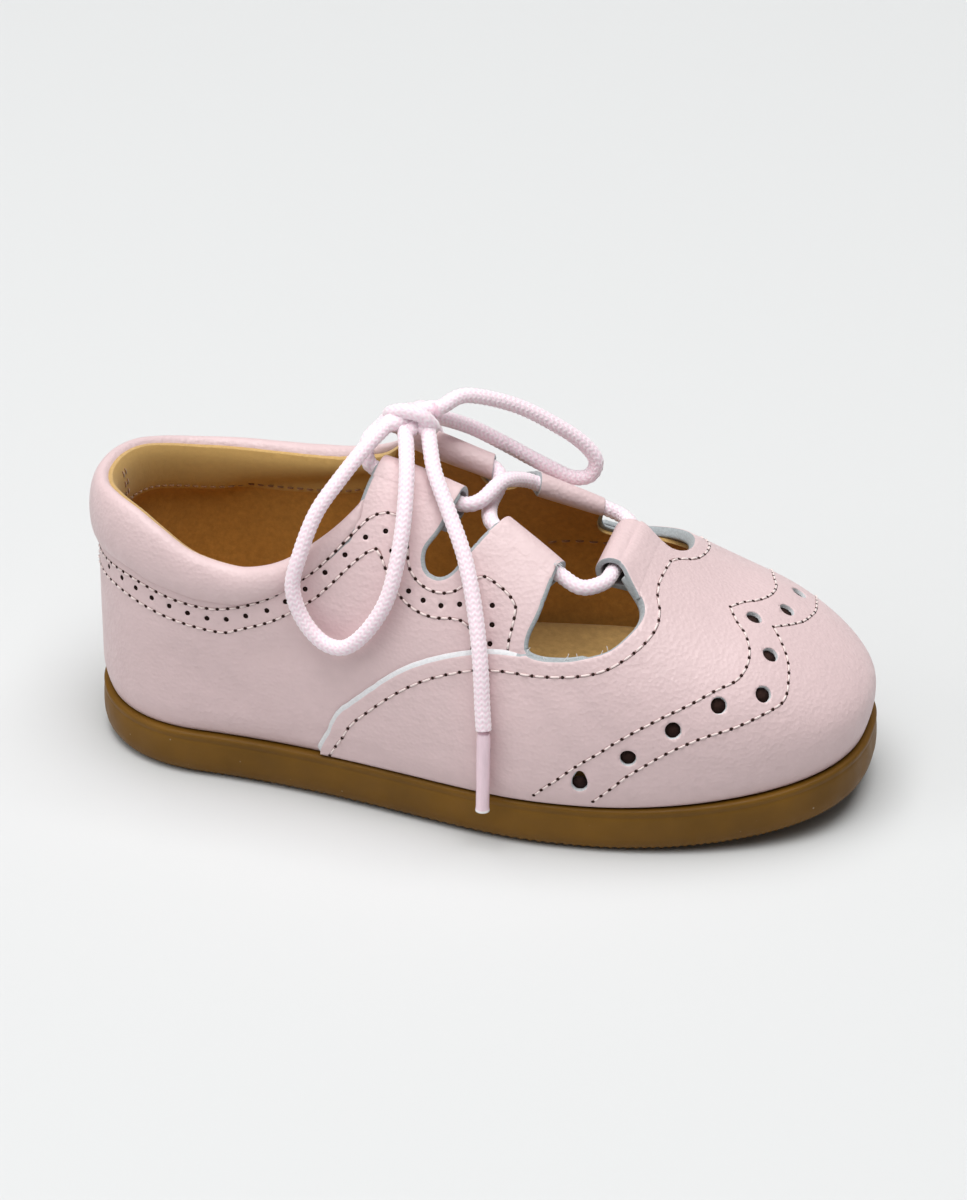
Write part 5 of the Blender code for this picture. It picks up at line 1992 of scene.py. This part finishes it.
def make_sole():
    """Outsole with a moulded lip over a groove and a sawtooth lower edge."""
    count = 2 * SOLE_STATIONS - 2
    station = np.concatenate([np.arange(SOLE_STATIONS), np.arange(SOLE_STATIONS - 2, 0, -1)])
    tooth = np.abs((station % TOOTH_STATIONS) / TOOTH_STATIONS * 2.0 - 1.0)
    rings = []
    for height, inset in SOLE_EDGE:
        ring = plan_ring(height, inset, SOLE_STATIONS)
        if height < TOOTH_FADE:
            ring[:, 2] += TOOTH_HEIGHT * tooth * (1.0 - height / TOOTH_FADE)
        if height == 0.0:
            ring[:, 2] += arch(ring[:, 0])
        rings.append(ring)
    faces = ring_faces(len(rings), count)
    for level in (0, len(rings) - 1):
        for i in range(SOLE_STATIONS - 1):
            corners = [i, i + 1, (count - i - 1) % count, (count - i) % count]
            faces.append([level * count + k for k in dict.fromkeys(corners)])
    piece = new_piece("rubber_sole", np.vstack(rings), faces, [finish("gum_rubber")])
    clean_up(piece)
    return piece


def make_footbed():
    """Dished footbed inside the wall."""
    columns, stations = FOOTBED_COLUMNS, FOOTBED_STATIONS
    bottom = SOLE_HEIGHT + CLEARANCE
    reach = TUCK + WALL + 2.0 * CLEARANCE
    half = SOLE_LENGTH / 2
    start, stop = -half + HEEL_INSET + reach, half - TOE_INSET - reach
    x = crowded(start, stop, stations)
    shares = np.sin(np.linspace(-1.0, 1.0, columns) * np.pi / 2)
    layers = []
    for level in ("bottom", "top"):
        points = np.empty((stations, columns, 3))
        for j, share in enumerate(shares):
            side = OUTER if share < 0.0 else INNER
            width = half_width(x, side, upper_inset(x) + reach, start, stop)
            edge = np.clip((np.abs(share) - FOOTBED_EDGE_FROM) / FOOTBED_EDGE_RUN, 0.0, 1.0)
            z = bottom + spring(x)
            if level == "top":
                z = z + FOOTBED_THICKNESS - FOOTBED_DISH * (1.0 - share**2) - FOOTBED_EDGE_DROP * edge**2
            points[:, j] = np.stack([x, centre_y(x) + share * width, z], axis=-1)
        layers.append(points)
    size = stations * columns
    index = np.arange(size).reshape(stations, columns)
    faces = []
    for i in range(stations - 1):
        for j in range(columns - 1):
            quad = [index[i, j], index[i + 1, j], index[i + 1, j + 1], index[i, j + 1]]
            faces += [quad[::-1], [k + size for k in quad]]
        for j in (0, columns - 1):
            faces.append([index[i, j], index[i + 1, j], index[i + 1, j] + size, index[i, j] + size])
    points = np.vstack([layer.reshape(-1, 3) for layer in layers])
    piece = new_piece("footbed", points, faces, [finish("footbed_leather")])
    clean_up(piece)
    return piece


def braid(lace):
    """Radius of the braided lace at a reach along it: chevrons of yarn in columns round the cord."""
    depth, pitch, columns = lace.braid_depth / MM, lace.braid_pitch / MM, lace.braid_columns

    def radius(reach, turns):
        column = turns / (2.0 * np.pi) * columns
        slant = np.abs((column % 1.0) * 2.0 - 1.0)
        wave = 0.5 + 0.5 * np.cos(2.0 * np.pi * (reach / pitch + BRAID_SLANT * slant))
        valley = BRAID_VALLEY * np.cos(2.0 * np.pi * column) ** BRAID_SHARPNESS
        return LACE_DIAMETER / 2 - depth * (BRAID_WAVE * (1.0 - wave) + valley)

    return radius


def braid_marks(path, vertices):
    """How deep each point of a braided tube lies, from 0 on its ridges to 1 in its valleys."""
    ring = len(path) * LACE_SIDES
    radii = np.linalg.norm(vertices[:ring] - np.repeat(path, LACE_SIDES, axis=0), axis=1)
    depth = (LACE_DIAMETER / 2 - radii) / (LACE_DIAMETER / 2 - radii).max()
    return np.concatenate([depth, np.ones(len(vertices) - ring)])


def make_cord(name, route, lace, into_knot):
    """Braided cord along its route, tucked into the knot: the piece and its path."""
    route = np.array(route, float)
    first = route[0] + unit(route[0] - route[1]) * LACE_TUCK
    route = np.vstack([first, route])
    if into_knot:
        route = np.vstack([route, route[-1] + unit(route[-1] - route[-2]) * LACE_TUCK])
    path = spaced(curve_through(route, ROUTE_STEPS), LACE_STEP)
    vertices, faces = tube(path, braid(lace), LACE_SIDES)
    marks = {"valley": braid_marks(path, vertices)}
    piece = new_piece(name, vertices, faces, [finish("lace_yarn")], marks=marks)
    clean_up(piece, 0.002)
    return piece, path


def tapered(full, length):
    """Radius of a strand of the knot, which thins out towards both ends."""

    def radius(reach, turns):
        share = smooth(min(reach, length - reach) / STRAND_TAPER)
        return full(reach, turns) * (STRAND_END + (1.0 - STRAND_END) * share)

    return radius


def make_knot(lace):
    """Knot of the bow: a wrap round the strands that go into the loops and ends."""
    centre = np.array(KNOT_CENTRE)
    parts, marks = [], []
    full = braid(lace)
    for run in KNOT_BUNDLE:
        path = spaced(curve_through(np.array(run) + centre, ROUTE_STEPS), LACE_STEP)
        length = (len(path) - 1) * np.linalg.norm(path[1] - path[0])
        parts.append(tube(path, tapered(full, length), LACE_SIDES))
        marks.append(braid_marks(path, tube(path, full, LACE_SIDES)[0]))
    ring = np.array(KNOT_WRAP + KNOT_WRAP[:3]) + centre
    wrap = spaced(curve_through(ring, ROUTE_STEPS)[ROUTE_STEPS:-ROUTE_STEPS], LACE_STEP)[:-1]
    parts.append(tube(wrap, full, LACE_SIDES, closed=True))
    marks.append(braid_marks(wrap, parts[-1][0]))
    valley = {"valley": np.concatenate(marks)}
    piece = new_piece("bow_knot", *joined(parts), [finish("lace_yarn")], marks=valley)
    clean_up(piece, 0.002)
    return piece


def make_aglet(name, route, foot):
    """Film-wound tip of a lace end, pinched round the lace and cut flat."""
    route = np.array(route)
    foot = np.array(foot)
    start = route[-1] + unit(foot - route[-1]) * AGLET_GAP
    length = np.linalg.norm(foot - start)
    path = start + np.outer(np.linspace(0.0, 1.0, AGLET_STATIONS), foot - start)
    full = AGLET_DIAMETER / 2

    def hump(away, height, width):
        return height * np.exp(-((away / width) ** 2))

    def radius(reach, turns):
        lip = hump(reach - length, *AGLET_LIP)
        seam = hump(turns - AGLET_SEAM_TURN, *AGLET_SEAM)
        shoulder = hump(reach, *AGLET_SHOULDER)
        return full * (1.0 - AGLET_TAPER * reach / length) + lip + seam - shoulder

    wrap = tube(path, radius, AGLET_SIDES)
    reach = (wrap[0] - start) @ unit(foot - start)
    tip = {"tip": smooth((reach - length + AGLET_RIM) / AGLET_RIM_FADE)}
    piece = new_piece(name, *wrap, [finish("aglet_film")], marks=tip)
    clean_up(piece, 0.002)
    return piece


def make_lights():
    """Broad soft light from above, with a little from the front and the left, in a dim pale surround."""
    world = bpy.data.worlds.new("studio")
    bpy.context.scene.world = world
    world.use_nodes = True
    background = world.node_tree.nodes["Background"]
    background.inputs["Color"].default_value = SURROUND_COLOUR
    background.inputs["Strength"].default_value = SURROUND_STRENGTH
    for name, place, size, power in LIGHTS:
        light = bpy.data.lights.new(name, "AREA")
        light.size = size
        light.energy = power
        lamp = bpy.data.objects.new(name, light)
        lamp.location = place
        lamp.rotation_euler = (Vector(LIGHTS_AIM) - Vector(place)).to_track_quat("-Z", "Y").to_euler()
        bpy.context.scene.collection.objects.link(lamp)


def make_floor():
    """Seamless paper: a floor that sweeps up far behind the shoe."""
    deselect()
    bpy.ops.mesh.primitive_grid_add(x_subdivisions=FLOOR_CELLS, y_subdivisions=FLOOR_CELLS, size=FLOOR_SIZE)
    floor = bpy.context.object
    floor.name = "paper_floor"
    for vertex in floor.data.vertices:
        vertex.co.z = FLOOR_SWEEP * max(0.0, vertex.co.y - FLOOR_SWEEP_FROM) ** 2
    floor.data.materials.append(finish("paper"))
    floor.data.shade_smooth()


def make_camera(stage):
    """Camera at the photograph's angle, framed on the shoe."""
    camera = bpy.data.cameras.new("camera")
    turn, height = stage.azimuth, stage.elevation
    back = Vector((math.sin(turn) * math.cos(height), -math.cos(turn) * math.cos(height), math.sin(height)))
    holder = bpy.data.objects.new("camera", camera)
    target = Vector(stage.target)
    holder.location = target + back * stage.distance
    holder.rotation_euler = (-back).to_track_quat("-Z", "Y").to_euler()
    aspect = PHOTO_SIZE[0] / PHOTO_SIZE[1]
    camera.lens = stage.distance * camera.sensor_width * aspect / stage.frame_width
    camera.dof.use_dof = False
    bpy.context.scene.collection.objects.link(holder)
    bpy.context.scene.camera = holder
    bpy.context.scene.view_settings.view_transform = "Standard"


class BROGUE_OT_stage(bpy.types.Operator):
    """Adds the camera, the paper floor and the lights"""

    bl_idname = "brogue.stage"
    bl_label = "Stage"

    def execute(self, context):
        make_camera(context.scene.brogue_stage)
        make_floor()
        make_lights()
        return {"FINISHED"}


class BROGUE_OT_lace(bpy.types.Operator):
    """Models the lace, the loops and ends of its bow, the knot and the aglets"""

    bl_idname = "brogue.lace"
    bl_label = "Lace and bow"

    def execute(self, context):
        lace = context.scene.brogue_lace
        knot = make_knot(lace)
        settle(knot, "lace", "lace_knot")
        for name, route, foot in (
            ("outer", OUTER_END_ROUTE, OUTER_AGLET_FOOT),
            ("inner", INNER_END_ROUTE, INNER_AGLET_FOOT),
        ):
            aglet = make_aglet(f"{name}_aglet", route, foot)
            settle(aglet, "aglet", f"aglet_{name}")
        for node, route, far_end, lay in (
            ("lace", LACE_ROUTE, "knot", "taut"),
            ("lace_loop_outer", OUTER_LOOP_ROUTE, "knot", "hanging"),
            ("lace_loop_inner", INNER_LOOP_ROUTE, "knot", "loose"),
            ("lace_end_outer", OUTER_END_ROUTE, "fitting", "hanging"),
            ("lace_end_inner", INNER_END_ROUTE, "fitting", "hanging"),
        ):
            piece, run = make_cord(f"{node}_cord", route, lace, far_end == "knot")
            settle(piece, "lace", node)
        return {"FINISHED"}


class BROGUE_OT_sole(bpy.types.Operator):
    """Models the rubber sole"""

    bl_idname = "brogue.sole"
    bl_label = "Sole"

    def execute(self, context):
        settle(make_sole(), "sole", "outsole")
        return {"FINISHED"}


class BROGUE_OT_footbed(bpy.types.Operator):
    """Models the footbed"""

    bl_idname = "brogue.footbed"
    bl_label = "Footbed"

    def execute(self, context):
        settle(make_footbed(), "footbed", "insole")
        return {"FINISHED"}


class BROGUE_OT_quarters(bpy.types.Operator):
    """Models the leather of both quarters"""

    bl_idname = "brogue.quarters"
    bl_label = "Quarters"

    def execute(self, context):
        settle(make_quarter(context.scene.brogue_leather, context.scene.brogue_sewing), "upper", "upper")
        return {"FINISHED"}


class BROGUE_OT_lining(bpy.types.Operator):
    """Models the suede lining"""

    bl_idname = "brogue.lining"
    bl_label = "Lining"

    def execute(self, context):
        settle(make_lining(context.scene.brogue_leather), "footbed")
        return {"FINISHED"}


class BROGUE_OT_collar(bpy.types.Operator):
    """Models the padded collar roll"""

    bl_idname = "brogue.collar"
    bl_label = "Collar roll"

    def execute(self, context):
        roll = make_collar()
        settle(roll, "upper")
        return {"FINISHED"}


class BROGUE_OT_wing(bpy.types.Operator):
    """Models the wing vamp with its punched tip"""

    bl_idname = "brogue.wing"
    bl_label = "Wing vamp"

    def execute(self, context):
        settle(make_wing(context.scene.brogue_leather), "wing", "wing_vamp")
        return {"FINISHED"}


class BROGUE_OT_tabs(bpy.types.Operator):
    """Models the five lace tabs, rolled over the lace"""

    bl_idname = "brogue.tabs"
    bl_label = "Lace tabs"

    def execute(self, context):
        for side in (OUTER, INNER):
            for name in ("rear", "front"):
                settle(make_side_tab(name, side), "upper")
        settle(make_vamp_tab(), "wing")
        return {"FINISHED"}


class BROGUE_OT_stitching(bpy.types.Operator):
    """Sews every stitch row"""

    bl_idname = "brogue.stitching"
    bl_label = "Stitching"

    def execute(self, context):
        for piece in make_stitching(context.scene.brogue_leather, context.scene.brogue_sewing):
            settle(piece, "upper")
        settle(make_fibres(), "upper")
        return {"FINISHED"}


class BROGUE_PT_panel(bpy.types.Panel):
    """Lists the steps of the model and their settings"""

    bl_idname = "BROGUE_PT_panel"
    bl_label = "Open-throat brogue"
    bl_space_type = "VIEW_3D"
    bl_region_type = "UI"
    bl_category = "Brogue"

    def draw(self, context):
        for step in STEPS:
            self.layout.operator(step.bl_idname)
        for name, group in SETTINGS.items():
            box = self.layout.box()
            box.label(text=group.__doc__)
            for prop in group.__annotations__:
                box.prop(getattr(context.scene, name), prop)


STEPS = (
    BROGUE_OT_stage,
    BROGUE_OT_lace,
    BROGUE_OT_sole,
    BROGUE_OT_footbed,
    BROGUE_OT_quarters,
    BROGUE_OT_lining,
    BROGUE_OT_collar,
    BROGUE_OT_wing,
    BROGUE_OT_tabs,
    BROGUE_OT_stitching,
)
SETTINGS = {
    "brogue_leather": BrogueLeather,
    "brogue_sewing": BrogueSewing,
    "brogue_sole": BrogueSole,
    "brogue_lace": BrogueLace,
    "brogue_stage": BrogueStage,
}


def register():
    for group in (*SETTINGS.values(), *STEPS, BROGUE_PT_panel):
        bpy.utils.register_class(group)
    for name, group in SETTINGS.items():
        setattr(bpy.types.Scene, name, PointerProperty(type=group))


def unregister():
    for name in SETTINGS:
        delattr(bpy.types.Scene, name)
    for group in reversed((*SETTINGS.values(), *STEPS, BROGUE_PT_panel)):
        bpy.utils.unregister_class(group)


def main():
    register()
    deselect()
    for step in STEPS:
        area, name = step.bl_idname.split(".")
        getattr(getattr(bpy.ops, area), name)()


if __name__ == "__main__":
    main()
